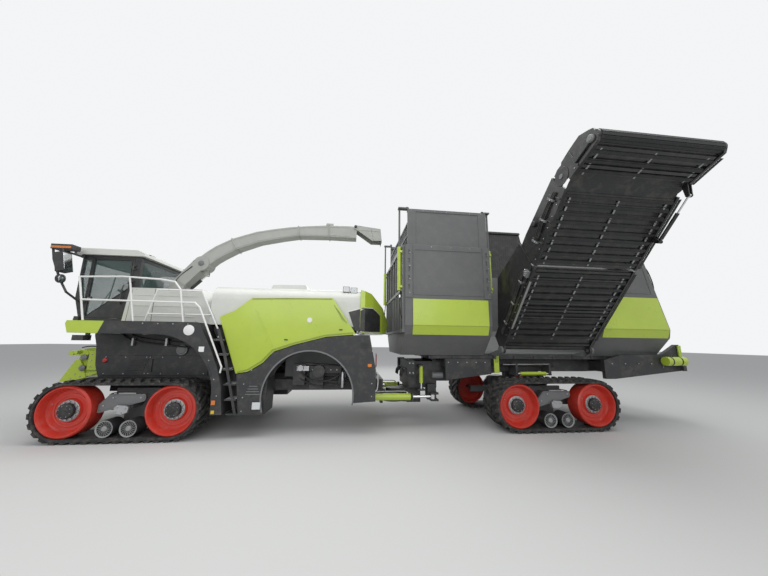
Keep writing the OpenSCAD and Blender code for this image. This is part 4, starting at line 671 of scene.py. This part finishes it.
for side, body in ((1, "left_side_panel"), (-1, "right_side_panel")):
    p = Piece(body + "_details", body)
    out = (0, side, 0)
    y = side * PANEL_Y
    # Raised rib along the crease, the darker edge under it as painted shade in darker lime, latches and a round
    # blank plate
    p.prism([(-2.2, 2.46), (-2.23, 2.45), (-2.6, 1.72), (-2.57, 1.7)], y, y + side * 0.006, "lime_paint")
    p.prism([(-1.96, 1.21), (-2.15, 1.25), (-2.42, 1.42), (-2.61, 1.64), (-3.01, 1.78), (-3.64, 1.95), (-4.22, 2.01),
             (-4.2, 2.035), (-3.63, 1.975), (-2.99, 1.805), (-2.59, 1.665), (-2.4, 1.445), (-2.14, 1.275),
             (-1.97, 1.235)], y, y + side * 0.005, "lime_painted_shade")
    p.prism([(-2.12, 2.685), (-2.83, 2.71), (-3.74, 2.73), (-3.74, 2.718), (-2.83, 2.698), (-2.12, 2.673)],
            y, y + side * 0.004, "seal_rubber")
    for x, z in ((-2.85, 1.86), (-3.95, 2.08)):
        p.box((x - 0.035, y, z - 0.012), (x + 0.035, y + side * 0.01, z + 0.012), "black_paint")
    p.lathe((-3.3, y, 2.27), out, [(0, 0), (0.052, 0), (0.052, 0.003), (0, 0.003)], "white_plate", 36)
    # Three painted shade lines in darker lime
    for k in range(3):
        x, z = 0.045 * k, 0.03 * k
        p.prism([(-3.78 - x, 2.6 - 2 * z), (-3.8 - x, 2.6 - 2 * z), (-3.99 - x, 2.28 - z), (-3.97 - x, 2.28 - z)],
                y, y + side * 0.005, "lime_painted_shade")
    p.done(0.002)

p = Piece("hood_details", "harvester")
with p.both_sides():
    # Rubber strip on the tail hood's corner
    p.prism([(-4.38, 2.56), (-4.44, 2.57), (-4.44, 2.05), (-4.38, 2.04)], 1.274, 1.279, "seal_rubber")
    # Tail lamps, vent, orange marker and a grab loop
    for k in range(5):
        p.box((-4.36, 1.401, 1.7 + 0.028 * k), (-4.56, 1.406, 1.712 + 0.028 * k), "hub_black")
    p.box((-4.53, BODY_Y, 1.33), (-4.61, 1.412, 1.39), "orange_lens")
    p.box((-4.701, 1.3, 1.34), (-4.715, 1.385, 1.58), "red_lens")
    p.box((-4.7, 1.29, 1.32), (-4.706, 1.395, 1.6), "hub_black")
    p.pipe([(-4.7, 1.25, 1.23), (-4.76, 1.25, 1.2), (-4.76, 1.25, 0.86), (-4.7, 1.25, 0.82)],
           0.011, "white_tube")
    # Lighter rolled rim of the rear arch, as short plates
    for k in range(29):
        a, b = math.radians(-18 + 7.2 * k), math.radians(-18 + 7.2 * (k + 1))
        p.prism(arc_plate(REAR_ARCH, 0.882, 0.912, a, b), BODY_Y, BODY_Y + 0.008, "rim_edge")
    p.box((-2.28, BODY_Y, 0.5), (-2.49, 1.404, 0.69), "hub_black")
    p.box((-2.31, 1.404, 0.53), (-2.46, 1.412, 0.66), "clear_lens")
    p.bolts([(-2.12, BODY_Y, z) for z in (0.5, 0.75, 1.0)] + [(-4.62, BODY_Y, z) for z in (0.75, 1.0, 1.65)], OUT,
            0.012)
    for k in range(4):
        p.box((-2.16 - 0.02 * k, BODY_Y, 0.8 + 0.05 * k), (-2.44 + 0.02 * k, 1.405, 0.815 + 0.05 * k), "rim_edge")
    # Work lamps on the corner of the hood
    p.pipe([(-4.18, 1.02, 2.93), (-4.2, 1.1, 2.96), (-4.22, 1.14, 2.95)], 0.016, "black_paint")
    for k in range(2):
        c = Vector((-4.03 - 0.17 * k, 1.1, 2.985 - 0.02 * k))
        p.box(c + Vector((-0.075, -0.035, -0.065)), c + Vector((0.075, 0.035, 0.065)), "black_paint")
        p.box(c + Vector((-0.066, 0.035, -0.056)), c + Vector((0.066, 0.043, 0.056)), "clear_lens")
        p.rod(c - Vector((0, 0, 0.18)), c - Vector((0, 0, 0.06)), 0.014, "black_paint", 12)
    # Air intake screens and a step on the top
    for k in range(10):
        p.box((-1.45 - 0.07 * k, 0.25, 2.98), (-1.48 - 0.07 * k, 0.8, 2.987), "hub_black")
    for k in range(8):
        p.box((-3.45 - 0.08 * k, 0.2, 2.98), (-3.49 - 0.08 * k, 0.75, 2.987), "hub_black")
    # Pieces inside the arch: pump, filter and hoses
    p.lathe((-3.1, 0.9, 1.26), OUT, [(0, 0.02), (0.06, 0.02), (0.07, 0.01), (0.07, -0.1), (0, -0.1)],
            "rod_chrome", 28)
    p.lathe((-4.02, 0.86, 0.84), (0, 0, 1), [(0, 0), (0.05, 0.005), (0.05, 0.3), (0.035, 0.34), (0, 0.34)],
            "hub_nut", 28)
    p.pipe([(-3.1, 0.9, 1.2), (-3.3, 0.95, 1.0), (-3.7, 0.93, 0.98), (-3.95, 0.9, 1.12)], 0.018)
    p.pipe([(-3.0, 0.85, 1.1), (-3.35, 0.92, 0.9), (-3.8, 0.9, 0.86), (-4.2, 0.86, 0.98)], 0.015)
    p.box((-3.28, 0.865, 1.2), (-3.02, 0.885, 1.3), "rod_chrome")
    p.bolts([(-3.36 - 0.13 * k, 0.86, 1.22) for k in range(5)], OUT, 0.014, 0.014)
p.done(0.004)

# Rear corner cover of the hood: black, round the tail hood's corner, with a pale edge
p = Piece("quarter_covers", "harvester")
with p.both_sides():
    stations = [(-4.355, 1.278, 2.06, 2.5), (-4.45, 1.273, 2.05, 2.56), (-4.64, 1.083, 2.05, 2.57),
                (-4.82, 0.845, 2.06, 2.44)]
    for (xa, ya, low_a, top_a), (xb, yb, low_b, top_b) in zip(stations, stations[1:]):
        off = Vector((yb - ya, xa - xb, 0)).normalized() * 0.007
        for mat, grow, lift in (("hub_black", 0.0, 1.0), ("white_tube", 0.012, 0.6)):
            quad = [(xa, ya, low_a - grow), (xa, ya, top_a + grow), (xb, yb, top_b + grow), (xb, yb, low_b - grow)]
            lo = [p.bm.verts.new(q) for q in quad]
            hi = [p.bm.verts.new(Vector(q) + off * lift) for q in quad]
            p.paint([p.bm.faces.new(lo), p.bm.faces.new(list(reversed(hi)))] + p.band(lo, hi), mat)
    p.prism([(-4.1, 2.47), (-4.345, 2.54), (-4.345, 2.06), (-4.24, 2.07)], 1.2405, 1.248, "hub_black")
    p.prism([(-4.085, 2.485), (-4.345, 2.555), (-4.345, 2.54), (-4.1, 2.47)], 1.2405, 1.246, "white_tube")
p.done(0)

# Articulation: hoses that loop across the pivot are clamped on each side, so each half rides its own unit
p = Piece("pivot_front_details", "harvester")
with p.both_sides():
    p.rod((-4.92, 0.52, 0.86), (-4.99, 0.52, 0.86), 0.022, "rod_chrome", 18)
    p.rod((-4.92, 0.46, 0.92), (-4.99, 0.46, 0.92), 0.018, "rod_chrome", 18)
    p.bolts([(-4.93, yy, zz) for yy in (0.3, 0.62) for zz in (0.54, 0.72, 0.9)], (-1, 0, 0), 0.018, 0.014)
p.done(0.003)
p = Piece("pivot_rear_details", "bunker")
with p.both_sides():
    # Upright cylinders beside the cross head
    p.rod((-5.8, 0.8, 0.93), (-5.8, 0.8, 1.3), 0.045, "lime_paint", 28)
    p.rod((-5.8, 0.8, 0.93), (-5.8, 0.8, 0.8), 0.026, "rod_chrome", 20)
    p.box((-5.74, 0.619, 1.28), (-5.86, 0.84, 1.33), "chassis_paint")
    p.box((-5.72, 0.6, 0.76), (-5.88, 0.84, 0.8), "chassis_paint")
    p.box((-5.74, 0.6, 0.8), (-5.86, 0.66, 1.08), "chassis_paint")
    p.bolts([(-5.55, 0.72, z) for z in (1.14, 1.36)] + [(-5.63, 0.72, z) for z in (1.14, 1.36)], OUT, 0.018, 0.014)
    for k in range(4):
        p.pipe([(-5.54, 0.15 + 0.1 * k, 1.2), (-5.47, 0.15 + 0.1 * k, 1.19), (-5.42, 0.17 + 0.1 * k, 1.12),
                (-5.41, 0.18 + 0.1 * k, 1.02)], 0.016)
        p.rod((-5.54, 0.15 + 0.1 * k, 1.2), (-5.49, 0.15 + 0.1 * k, 1.197), 0.021, "rod_chrome", 14)
    p.bolts([(-5.64, yy, 0.62 + 0.1 * k) for yy in (0.15, 0.28) for k in range(2)], (1, 0, 0), 0.016, 0.012)
    # Chassis sides
    p.bolts([(-6.4 - 0.22 * k, 0.96, 1.4) for k in range(5)], OUT, 0.015, 0.012)
    p.rod((-6.05, 0.8, 1.1), (-6.3, 0.8, 1.1), 0.07, "cast_grey", 28)
    p.box((-7.51, 0.92, 1.16), (-7.63, 0.945, 1.64), "lime_paint")
    # Painted shade patch in darker lime on the lime plate
    p.box((-7.53, 0.945, 1.4), (-7.61, 0.951, 1.56), "lime_painted_shade")
    p.rod((-7.75, 0.9, 1.35), (-8.92, 0.9, 1.36), 0.014, "machinery_grey", 12)
    p.rod((-8.18, 0.88, 1.14), (-8.82, 0.88, 1.14), 0.045, "lime_paint", 28)
    p.rod((-8.1, 0.88, 1.14), (-8.18, 0.88, 1.14), 0.024, "rod_chrome", 18)
    p.rod((-8.82, 0.88, 1.14), (-8.9, 0.88, 1.14), 0.024, "rod_chrome", 18)
    for x in (-8.08, -8.92):
        p.box((x - 0.03, 0.615, 1.105), (x + 0.03, 0.92, 1.36 if x < -8.5 else 1.375), "chassis_paint")
    p.rod((-7.59, 0.92, 1.515), (-9.28, 0.92, 1.525), 0.022, "hub_black", 14)
    for x in (-7.7, -8.4, -9.2):
        p.box((x - 0.02, 0.6, 1.47), (x + 0.02, 0.935, 1.49), "chassis_paint")
        p.box((x - 0.02, 0.905, 1.48), (x + 0.02, 0.935, 1.5), "chassis_paint")
    p.pipe([(-6.2, 0.66, 1.42), (-7.0, 0.68, 1.4), (-7.9, 0.66, 1.3), (-9.2, 0.66, 1.3)], 0.018)
p.done(0.004)

# Steering cylinders: gland rings, ports and grease points
for side, word in ((1, "left"), (-1, "right")):
    p = Piece(f"steer_barrel_{word}_details", f"steer_barrel_{word}")
    y = side * 0.9
    at = Vector((-5.575, y, 0.65))
    p.lathe(at, (1, 0, 0), [(0.0765, 0.0), (0.082, 0.004), (0.082, 0.05), (0.0765, 0.055), (0.0765, 0)],
            "hub_black", 36)
    for x in (-5.46, -4.6):
        p.rod((x, y, 0.722), (x, y, 0.75), 0.022, "rod_chrome", 18)
    p.pipe([(-5.46, y, 0.745), (-5.4, y, 0.77), (-5.0, y, 0.765), (-4.66, y, 0.755)], 0.011, "machinery_grey")
    p.done(0.002)

# Bunker: walls, raised parts and backboard

p = Piece("bunker_wall_details", "bunker")
with p.both_sides():
    # Raised frames on the grey side walls
    y = WALL_Y
    for pts in ([(-5.48, 2.86), (-7.17, 2.86), (-7.17, 3.9), (-5.48, 3.9)],
                [(-10.08, 3.05), (-11.32, 3.05), (-11.14, 3.88), (-10.08, 3.88)]):
        for i in range(4):
            a, b = Vector(pts[i]), Vector(pts[(i + 1) % 4])
            middle = (Vector(pts[0]) + Vector(pts[2])) / 2
            p.prism([a, b, b.lerp(middle, 0.045), a.lerp(middle, 0.045)], y, y + 0.008, "bunker_grey")
    for x in (-5.4, -7.21, -9.9):
        p.bolts([(x, 1.5, z) for z in (2.9, 3.2, 3.5, 3.8)], OUT, 0.011, 0.01)
    p.bolts([(x, WALL_Y, 3.955) for x in (-5.45, -5.9, -6.35, -6.8, -7.15, -9.95, -10.4, -10.85, -11.25)], OUT,
            0.01)
    # Painted shade along the lime band's fold, as a darker lime line
    p.box((-5.475, 1.502, 2.194), (-7.165, 1.506, 2.206), "lime_painted_shade")
    p.box((-9.94, 1.502, 2.194), (-11.58, 1.506, 2.206), "lime_painted_shade")
    # Top rim
    p.box((-5.31, 1.442, 3.99), (-7.24, 1.478, 3.998), "rim_edge")
    # Hoses up the front corner to the raising cylinders
    p.pipe([(-5.25, 1.36, 2.35), (-5.19, 1.38, 2.55), (-5.2, 1.38, 2.85), (-5.22, 1.36, 3.0)], 0.013)
    p.rod((-5.2, 1.375, 2.8), (-5.2, 1.375, 2.86), 0.022, "rod_chrome", 16)
for i in range(-6, 7):
    p.box((-5.245, i * 0.205 - 0.012, 2.1), (-5.235, i * 0.205 + 0.012, 2.92), "rim_edge")
# Backboard: grey top rail and a rubber edge
p.box((-7.11, -1.415, 5.605), (-9.88, -1.48, 5.626), "rim_edge")
p.box((-7.115, -1.526, 5.3), (-9.88, -1.531, 5.6), "rim_edge")
p.bolts([(-7.2 - 0.3 * k, -1.531, 5.45) for k in range(9)], (0, -1, 0), 0.014, 0.01)
for k in range(34):
    p.box((-7.14 - 0.08 * k, -1.478, 4.02), (-7.148 - 0.08 * k, -1.4795, 5.52), "seal_rubber")
p.done(0.003)

p = Piece("front_raiser_details", "front_raiser")
with p.both_sides():
    for x in (-5.37, -7.22):
        p.lathe((x + (0.0 if x > -6 else 0.02), 1.35, 4.899), (0, 0, 1),
                [(0, 0.05), (0.018, 0.047), (0.03, 0.036), (0.032, 0.02), (0.026, 0), (0, 0)],
                "track_rubber", 24)
    p.bolts([(-5.45 - 0.28 * k, 1.434, 4.84) for k in range(7)], OUT, 0.01, 0.004)
    p.box((-5.44, 1.348, 4.8702), (-7.18, 1.43, 4.876), "rim_edge")
p.done(0.003)

p = Piece("rear_raiser_details", "rear_raiser")
with p.both_sides():
    p.bolts([(-10.25 - 0.28 * k, 1.434, 3.93) for k in range(4)], OUT, 0.01, 0.004)
p.done(0.002)

p = Piece("rear_wall_details", "bunker")
with p.both_sides():
    # Slotted strip, hose loop and lamp board of the tail
    p.pipe([(-11.5, 1.36, 3.05), (-11.47, 1.43, 3.25), (-11.33, 1.47, 3.6), (-11.26, 1.44, 3.75)], 0.012)
    p.box((-12.155, 1.16, 1.4), (-12.235, 1.19, 1.84), "lime_paint")
    p.box((-12.235, 0.9, 1.3), (-12.25, 1.2, 1.42), "hub_black")
    p.box((-12.25, 1.08, 1.315), (-12.262, 1.185, 1.405), "red_lens")
    p.box((-12.25, 0.96, 1.315), (-12.262, 1.065, 1.405), "orange_lens")
    p.box((-11.7, 1.15, 1.3), (-11.73, 1.156, 1.52), "rim_edge")
    p.bolts([(-10.35 - 0.35 * k, 1.15, 1.4) for k in range(5)], OUT, 0.015, 0.012)
    for x in (-11.78, -12.02):
        p.lathe((x, 1.27, 1.47), (1, 0, 0), [(0.1055, 0), (0.1105, 0), (0.1105, 0.03), (0.1055, 0.03), (0.1055, 0)],
                "hub_black", 36)
    p.rod((-11.9, 1.27, 1.57), (-11.9, 1.27, 1.6), 0.03, "hub_black", 20)
p.box((-12.231, -0.3, 1.31), (-12.238, 0.3, 1.43), "white_plate")
# Bars across the leaning rear wall
for k in range(5):
    x, z = -11.735 + 0.268 * (0.4 + 0.3 * k), 2.4 + 0.3 * k
    p.box((x, -1.3, z), (x - 0.03, 1.3, z + 0.04), "bunker_grey")
p.done(0.003)

# Elevator, in its own frame: x along the machine, s up the slope, n out of the carrying face

SLOPE, BEND = math.radians(49), math.radians(-24)
BEND_AT = Vector((0, 3.6, 0.19))
E0 = Matrix.Translation((0, 1.37, 1.7)) @ Matrix.Rotation(SLOPE, 4, "X")
E_END = (E0 @ Matrix.Translation(BEND_AT) @ Matrix.Rotation(BEND, 4, "X")
         @ Matrix.Translation((0, 0, -BEND_AT.z)))
XF, XB = -7.5, -9.6             # front and back edges of the troughs
SLAT_PITCH, CHAIN_PITCH, RIB_PITCH, BOLT_PITCH = 0.155, 0.09, 0.4, 0.2


def elevator_part(name, body, xf, s0, s1, first_rib=0.15):
    """Slats, chains, lower flanges, side ribs and bolts of one trough, from s0 to s1 up the slope."""
    part = Piece(name, body, xf)
    n_slats = round((s1 - s0) / SLAT_PITCH)
    for k in range(n_slats):
        s = s0 + (s1 - s0) * (k + 0.5) / n_slats
        part.box((XB + 0.05, s - 0.028, 0.004), (XF - 0.05, s - 0.02, 0.036), "hub_black")
        part.box((XB + 0.05, s - 0.028, 0.004), (XF - 0.05, s + 0.028, 0.01), "slat_steel")
        part.box((XB + 0.05, s + 0.02, 0.004), (XF - 0.05, s + 0.028, 0.036), "hub_black")
    for x in (XB + 0.16, (XB + XF) / 2, XF - 0.16):
        for k in range(int((s1 - s0) / CHAIN_PITCH)):
            s = s0 + CHAIN_PITCH * k
            part.box((x - 0.016, s + 0.006, 0.012), (x + 0.016, s + 0.082, 0.026), "machinery_grey")
    for x, way in ((XF, 1), (XB, -1)):
        part.box((x - 0.05, s0, -0.006), (x, s1, 0.0), "slat_steel")
        for k in range(int((s1 - s0 - 0.2) / RIB_PITCH) + 1):
            s = s0 + first_rib + RIB_PITCH * k
            part.box((x, s - 0.012, 0.02), (x + way * 0.012, s + 0.012, 0.36), "black_paint")
        part.bolts([(x, s0 + 0.08 + BOLT_PITCH * k, 0.05) for k in range(int((s1 - s0 - 0.1) / BOLT_PITCH))],
                   (way, 0, 0), 0.012, 0.01)
    return part


p = elevator_part("elevator_lower_details", "elevator_lower", E0, 0.3, 1.98)
p.box((XF - 0.045, 0.6, -0.016), (XF - 0.005, 1.74, -0.004), "machinery_grey")
for k in range(3):
    p.pipe([(XF + 0.02, 0.3, 0.16 + 0.03 * k), (XF + 0.035, 0.7, 0.13 + 0.035 * k),
            (XF + 0.035, 1.3, 0.16 + 0.03 * k), (XF + 0.03, 1.85, 0.2 + 0.03 * k)], 0.011)
for s in (0.6, 1.1, 1.6):
    p.box((XF, s, 0.13), (XF + 0.05, s + 0.03, 0.25), "hub_nut")
p.box((XF, 1.78, 0.05), (XF + 0.05, 1.92, 0.17), "cast_grey")
for k in range(3):
    p.rod((XF + 0.025, 1.8 + 0.04 * k, 0.17), (XF + 0.025, 1.8 + 0.04 * k, 0.21), 0.014, "rod_chrome", 14)
    p.rod((XF + 0.05, 1.81 + 0.04 * k, 0.09), (XF + 0.08, 1.81 + 0.04 * k, 0.09), 0.013, "rod_chrome", 14)
p.box((XF + 0.017, 0.55, 0.3), (XF + 0.02, 1.75, 0.33), "slat_steel")
p.done(0.003)

p = elevator_part("elevator_middle_details", "elevator_middle", E0, 2.1, 3.42, 0.38)
for k in range(3):
    p.pipe([(XF + 0.012, 2.42, 0.19 + 0.04 * k), (XF + 0.03, 2.6, 0.17 + 0.04 * k),
            (XF + 0.03, 3.0, 0.2 + 0.04 * k), (XF + 0.02, 3.35, 0.16 + 0.03 * k)], 0.011)
for s in (2.44, 2.84, 3.2):
    p.box((XF, s, 0.13), (XF + 0.045, s + 0.035, 0.3), "cast_grey")
    p.rod((XF + 0.045, s + 0.017, 0.18), (XF + 0.065, s + 0.017, 0.18), 0.012, "rod_chrome", 14)
p.lathe((XF, 2.72, 0.44), (1, 0, 0), [(0, 0.05), (0.045, 0.05), (0.055, 0.04), (0.055, 0), (0, 0)], "hub_black", 28)
p.done(0.003)

p = elevator_part("elevator_end_details", "elevator_end", E_END, 0.16, 0.62)
# Slats that turn round the end pulley
for k in range(7):
    a = math.radians(-95 + 30 * k)
    c = Vector((0, 0.7 + 0.094 * math.cos(a), 0.12 + 0.094 * math.sin(a)))
    t = Matrix.Rotation(a, 3, "X")
    p.box(Vector((XB + 0.05, c.y - 0.005, c.z - 0.022)), Vector((XF - 0.05, c.y + 0.005, c.z + 0.022)),
          "slat_steel", t)
p.box((XF, 0.3, 0.08), (XF + 0.03, 0.62, 0.2), "hub_black")
for x, way in ((XF, 1), (XB, -1)):
    p.rod((x + way * 0.001, 0, 0.19), (x + way * 0.008, 0, 0.19), 0.155, "hub_black", 40)
    p.rod((x + way * 0.008, 0, 0.19), (x + way * 0.02, 0, 0.19), 0.04, "cast_grey", 24)
p.lathe((XF, 0.66, 0.12), (1, 0, 0), [(0, 0.045), (0.04, 0.045), (0.06, 0.03), (0.06, 0), (0, 0)], "cast_grey", 28)
p.done(0.003)

# Rubber mat that carries the conveyor round the bend, from the middle part to the end part
N_MAT = 13
bm = bmesh.new()
line, rings = [], []
for i in range(N_MAT):
    t = i / (N_MAT - 1)
    w = min(1.0, max(0.0, (t - 0.25) / 0.5))
    at = (E0 @ Vector((0, 3.36 + 0.3 * t, 0.03))).lerp(E_END @ Vector((0, -0.1 + 0.3 * t, 0.03)),
                                                         w * w * (3 - 2 * w))
    above = (E0.to_3x3() @ Vector((0, 0, 1))).lerp(E_END.to_3x3() @ Vector((0, 0, 1)), w).normalized()
    line.append(at)
    rings.append([bm.verts.new(Vector((x, 0, 0)) + at + above * h) for x, h in (
        (XB + 0.046, 0), (XF - 0.046, 0), (XF - 0.046, 0.012), (XB + 0.046, 0.012))])
for a, b in zip(rings, rings[1:]):
    for k in range(4):
        bm.faces.new((a[k], b[k], b[(k + 1) % 4], a[(k + 1) % 4]))
bm.faces.new(rings[0])
bm.faces.new(list(reversed(rings[-1])))
bmesh.ops.recalc_face_normals(bm, faces=bm.faces)
ob = mesh_object("bend_mat", bm, ["hub_black"])
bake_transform(ob)

# Spout: flanges, strips, hoses and the rubber edge of its flap

# Path of the spout's middle line, as (x, z, half height)
SPOUT = [(-0.64, 3.895, 0.15), (-0.82, 4.03, 0.155), (-1.15, 4.23, 0.15), (-1.71, 4.455, 0.14),
         (-2.3, 4.59, 0.132), (-2.72, 4.665, 0.125), (-3.5, 4.715, 0.15), (-4.05, 4.72, 0.16)]


def beside_spout(i, off):
    """Point at off metres above the spout's middle line, square to it, at path point i."""
    a, b = SPOUT[max(i - 1, 0)], SPOUT[min(i + 1, len(SPOUT) - 1)]
    d = Vector((b[0] - a[0], 0, b[1] - a[1])).normalized()
    return Vector((SPOUT[i][0], 0, SPOUT[i][1])) + Vector((d.z, 0, -d.x)) * off


p = Piece("spout_details", "spout")
for i in (2, 5, 6):
    a, b = SPOUT[i - 1], SPOUT[i + 1]
    d = Vector((b[0] - a[0], 0, b[1] - a[1])).normalized()
    t = Matrix.Rotation(-math.atan2(-d.z, -d.x), 3, "Y")
    h = SPOUT[i][2]
    for way in (1, -1):
        c = beside_spout(i, way * (h + 0.004))
        p.box(c - Vector((0.012, 0.178, 0.014)), c + Vector((0.012, 0.178, 0.014)), "spout_paint", t)
        c = beside_spout(i, 0)
        p.box(c + Vector((-0.012, way * 0.16 - 0.001, -h)), c + Vector((0.012, way * 0.178, h)), "spout_paint", t)
        p.bolts([c + Vector((0.012, way * 0.169, k * h * 0.6)) for k in (-1, 0, 1)], (1, 0, 0), 0.008)
with p.both_sides():
    for lo, hi in ((0.72, 0.8), (-0.8, -0.72)):
        upper, lower = ([beside_spout(i, row[2] * k).xz for i, row in enumerate(SPOUT)] for k in (hi, lo))
        for i in range(len(SPOUT) - 1):
            p.prism([upper[i], upper[i + 1], lower[i + 1], lower[i]], SPOUT_Y, 0.165, "spout_paint")
    # Two hoses along the top
    for y, r in ((0.1, 0.01), (0.07, 0.008)):
        p.pipe([beside_spout(i, row[2] + 0.018) + Vector((0, y, 0)) for i, row in enumerate(SPOUT[:-1])], r)
    p.lathe((-4.2, 0.175, 4.87), OUT, [(0, 0.05), (0.028, 0.05), (0.034, 0.04), (0.034, 0), (0, 0)], "hub_black",
            24)
    # Knuckle cover with its bolts
    p.bolts([(-0.44 + 0.1 * math.cos(a), 0.191, 3.69 + 0.1 * math.sin(a))
             for a in (0.3, 1.35, 2.4, 3.44, 4.49, 5.54)], OUT, 0.011, 0.006)
p.box((-3.41, -0.05, 4.875), (-3.418, 0.05, 4.945), "hub_black")
p.done(0.002)

p = Piece("flap_details", "deflector")
p.box((-4.905, -0.172, 4.455), (-4.897, 0.172, 4.53), "track_rubber")
with p.both_sides():
    p.prism([(-4.26, 4.8), (-4.85, 4.78), (-4.85, 4.76), (-4.26, 4.78)], FLAP_Y, 0.176, "spout_paint")
    p.prism([(-4.6, 4.86), (-4.62, 4.86), (-4.7, 4.53), (-4.68, 4.53)], FLAP_Y, 0.176, "spout_paint")
    p.bolts([(-4.2, FLAP_Y, 4.87)], OUT, 0.02, 0.01, "hub_nut", 12)
p.bolts([(-4.9065, -0.14 + 0.056 * k, 4.515) for k in range(6)], (-1, 0, 0), 0.007, 0.005)
p.done(0.002)

p = Piece("turret_details", "turret")
p.bolts([(0.27 * math.cos(k * math.pi / 8), 0.27 * math.sin(k * math.pi / 8), 2.98) for k in range(16)], (0, 0, 1),
        0.011, 0.01)
# Gear teeth round the turning ring
for k in range(60):
    a = k * math.pi / 30
    c = Vector((0.303 * math.cos(a), 0.303 * math.sin(a), 2.93))
    p.box(c - Vector((0.006, 0.007, 0.02)), c + Vector((0.006, 0.007, 0.02)), "machinery_grey",
          Matrix.Rotation(a, 3, "Z"))
with p.both_sides():
    p.prism([(0.22, 3.02), (0.12, 3.23), (-0.27, 3.73), (-0.29, 3.71), (0.1, 3.22), (0.2, 3.01)], 0.1652, 0.172,
            "spout_paint")
    p.lathe((-0.44, 0.1855, 3.69), OUT, [(0, 0.01), (0.06, 0.01), (0.07, 0.004), (0.07, 0), (0, 0)], "cast_grey",
            32)
p.pipe([(0.1, 0.12, 2.99), (0.14, 0.15, 3.15), (0.02, 0.178, 3.35), (-0.25, 0.19, 3.6)], 0.012)
p.done(0.002)

# Intake housing: bolts, rollers' bearing caps, hydraulic lines and a chain guard
p = Piece("intake_details", "harvester")
with p.both_sides():
    for x, z in ((1.42, 1.44), (1.42, 1.225)):
        p.lathe((x, 0.5905, z), OUT, [(0, 0.035), (0.03, 0.035), (0.04, 0.028), (0.062, 0.02), (0.062, 0), (0, 0)],
                "cast_grey", 32)
        p.bolts([(x + 0.05 * math.cos(a), 0.609, z + 0.05 * math.sin(a)) for a in (0.8, 2.36, 3.93, 5.5)], OUT,
                0.006)
    p.bolts([(1.12, 0.59, z) for z in (1.25, 1.38, 1.5)] + [(1.28, 0.59, z) for z in (1.25, 1.38, 1.5)], OUT, 0.013,
            0.012)
    p.bolts([(1.55, 0.575, 1.1), (1.62, 0.575, 1.00), (1.45, 0.575, 1.05)], OUT, 0.013, 0.012)
    p.pipe([(1.06, 0.62, 1.6), (1.2, 0.64, 1.68), (1.4, 0.62, 1.665), (1.52, 0.56, 1.64)], 0.012)
    p.box((1.05, 0.6, 1.585), (1.1, 0.64, 1.625), "hub_nut")
p.done(0.003)

# Floor, world and lamps

bpy.ops.mesh.primitive_plane_add(size=160, location=(-5, 0, 0))
floor = bpy.context.object
floor.name = "floor"
floor_pale = bpy.data.materials.new("floor_pale")
nt = node_tree(floor_pale)
matt = node(nt, "BsdfDiffuse", {0: (0.62, 0.62, 0.61, 1)})
node(nt, "OutputMaterial", {0: matt.outputs[0]})
floor.data.materials.append(floor_pale)

# Soft light on the object; paler to the camera, in reflections and through glass
world = bpy.data.worlds.new("world")
scene.world = world
nt = node_tree(world)
lit = node(nt, "Background", {0: (0.95, 0.97, 1.0, 1), 1: 0.55})
pale = node(nt, "Background", {0: (0.9, 0.91, 0.92, 1), 1: 1.0})
path = node(nt, "LightPath")
seen = path.outputs["Is Camera Ray"]
for ray in ("Is Transmission Ray", "Is Glossy Ray"):
    seen = node(nt, "Math", {0: seen, 1: path.outputs[ray]}, operation="MAXIMUM").outputs[0]
both = node(nt, "MixShader", {0: seen, 1: lit.outputs[0], 2: pale.outputs[0]})
node(nt, "OutputWorld", {0: both.outputs[0]})


def lamp(name, at, target, size, power):
    data = bpy.data.lights.new(name, "AREA")
    data.shape = "RECTANGLE"
    data.size, data.size_y = size
    data.energy = power
    ob = bpy.data.objects.new(name, data)
    scene.collection.objects.link(ob)
    ob.location = at
    ob.rotation_euler = (Vector(target) - Vector(at)).to_track_quat("-Z", "Y").to_euler()
    ob.visible_camera = False


lamp("overhead", (-5, 2, 11), (-5, 0, 1), (16, 8), 900)
lamp("near_side", (-3, 13, 6), (-5, 0, 2), (14, 6), 480)
lamp("far_side", (-6, -12, 8), (-5, 0, 2), (14, 6), 350)

scene.view_settings.view_transform = "Standard"
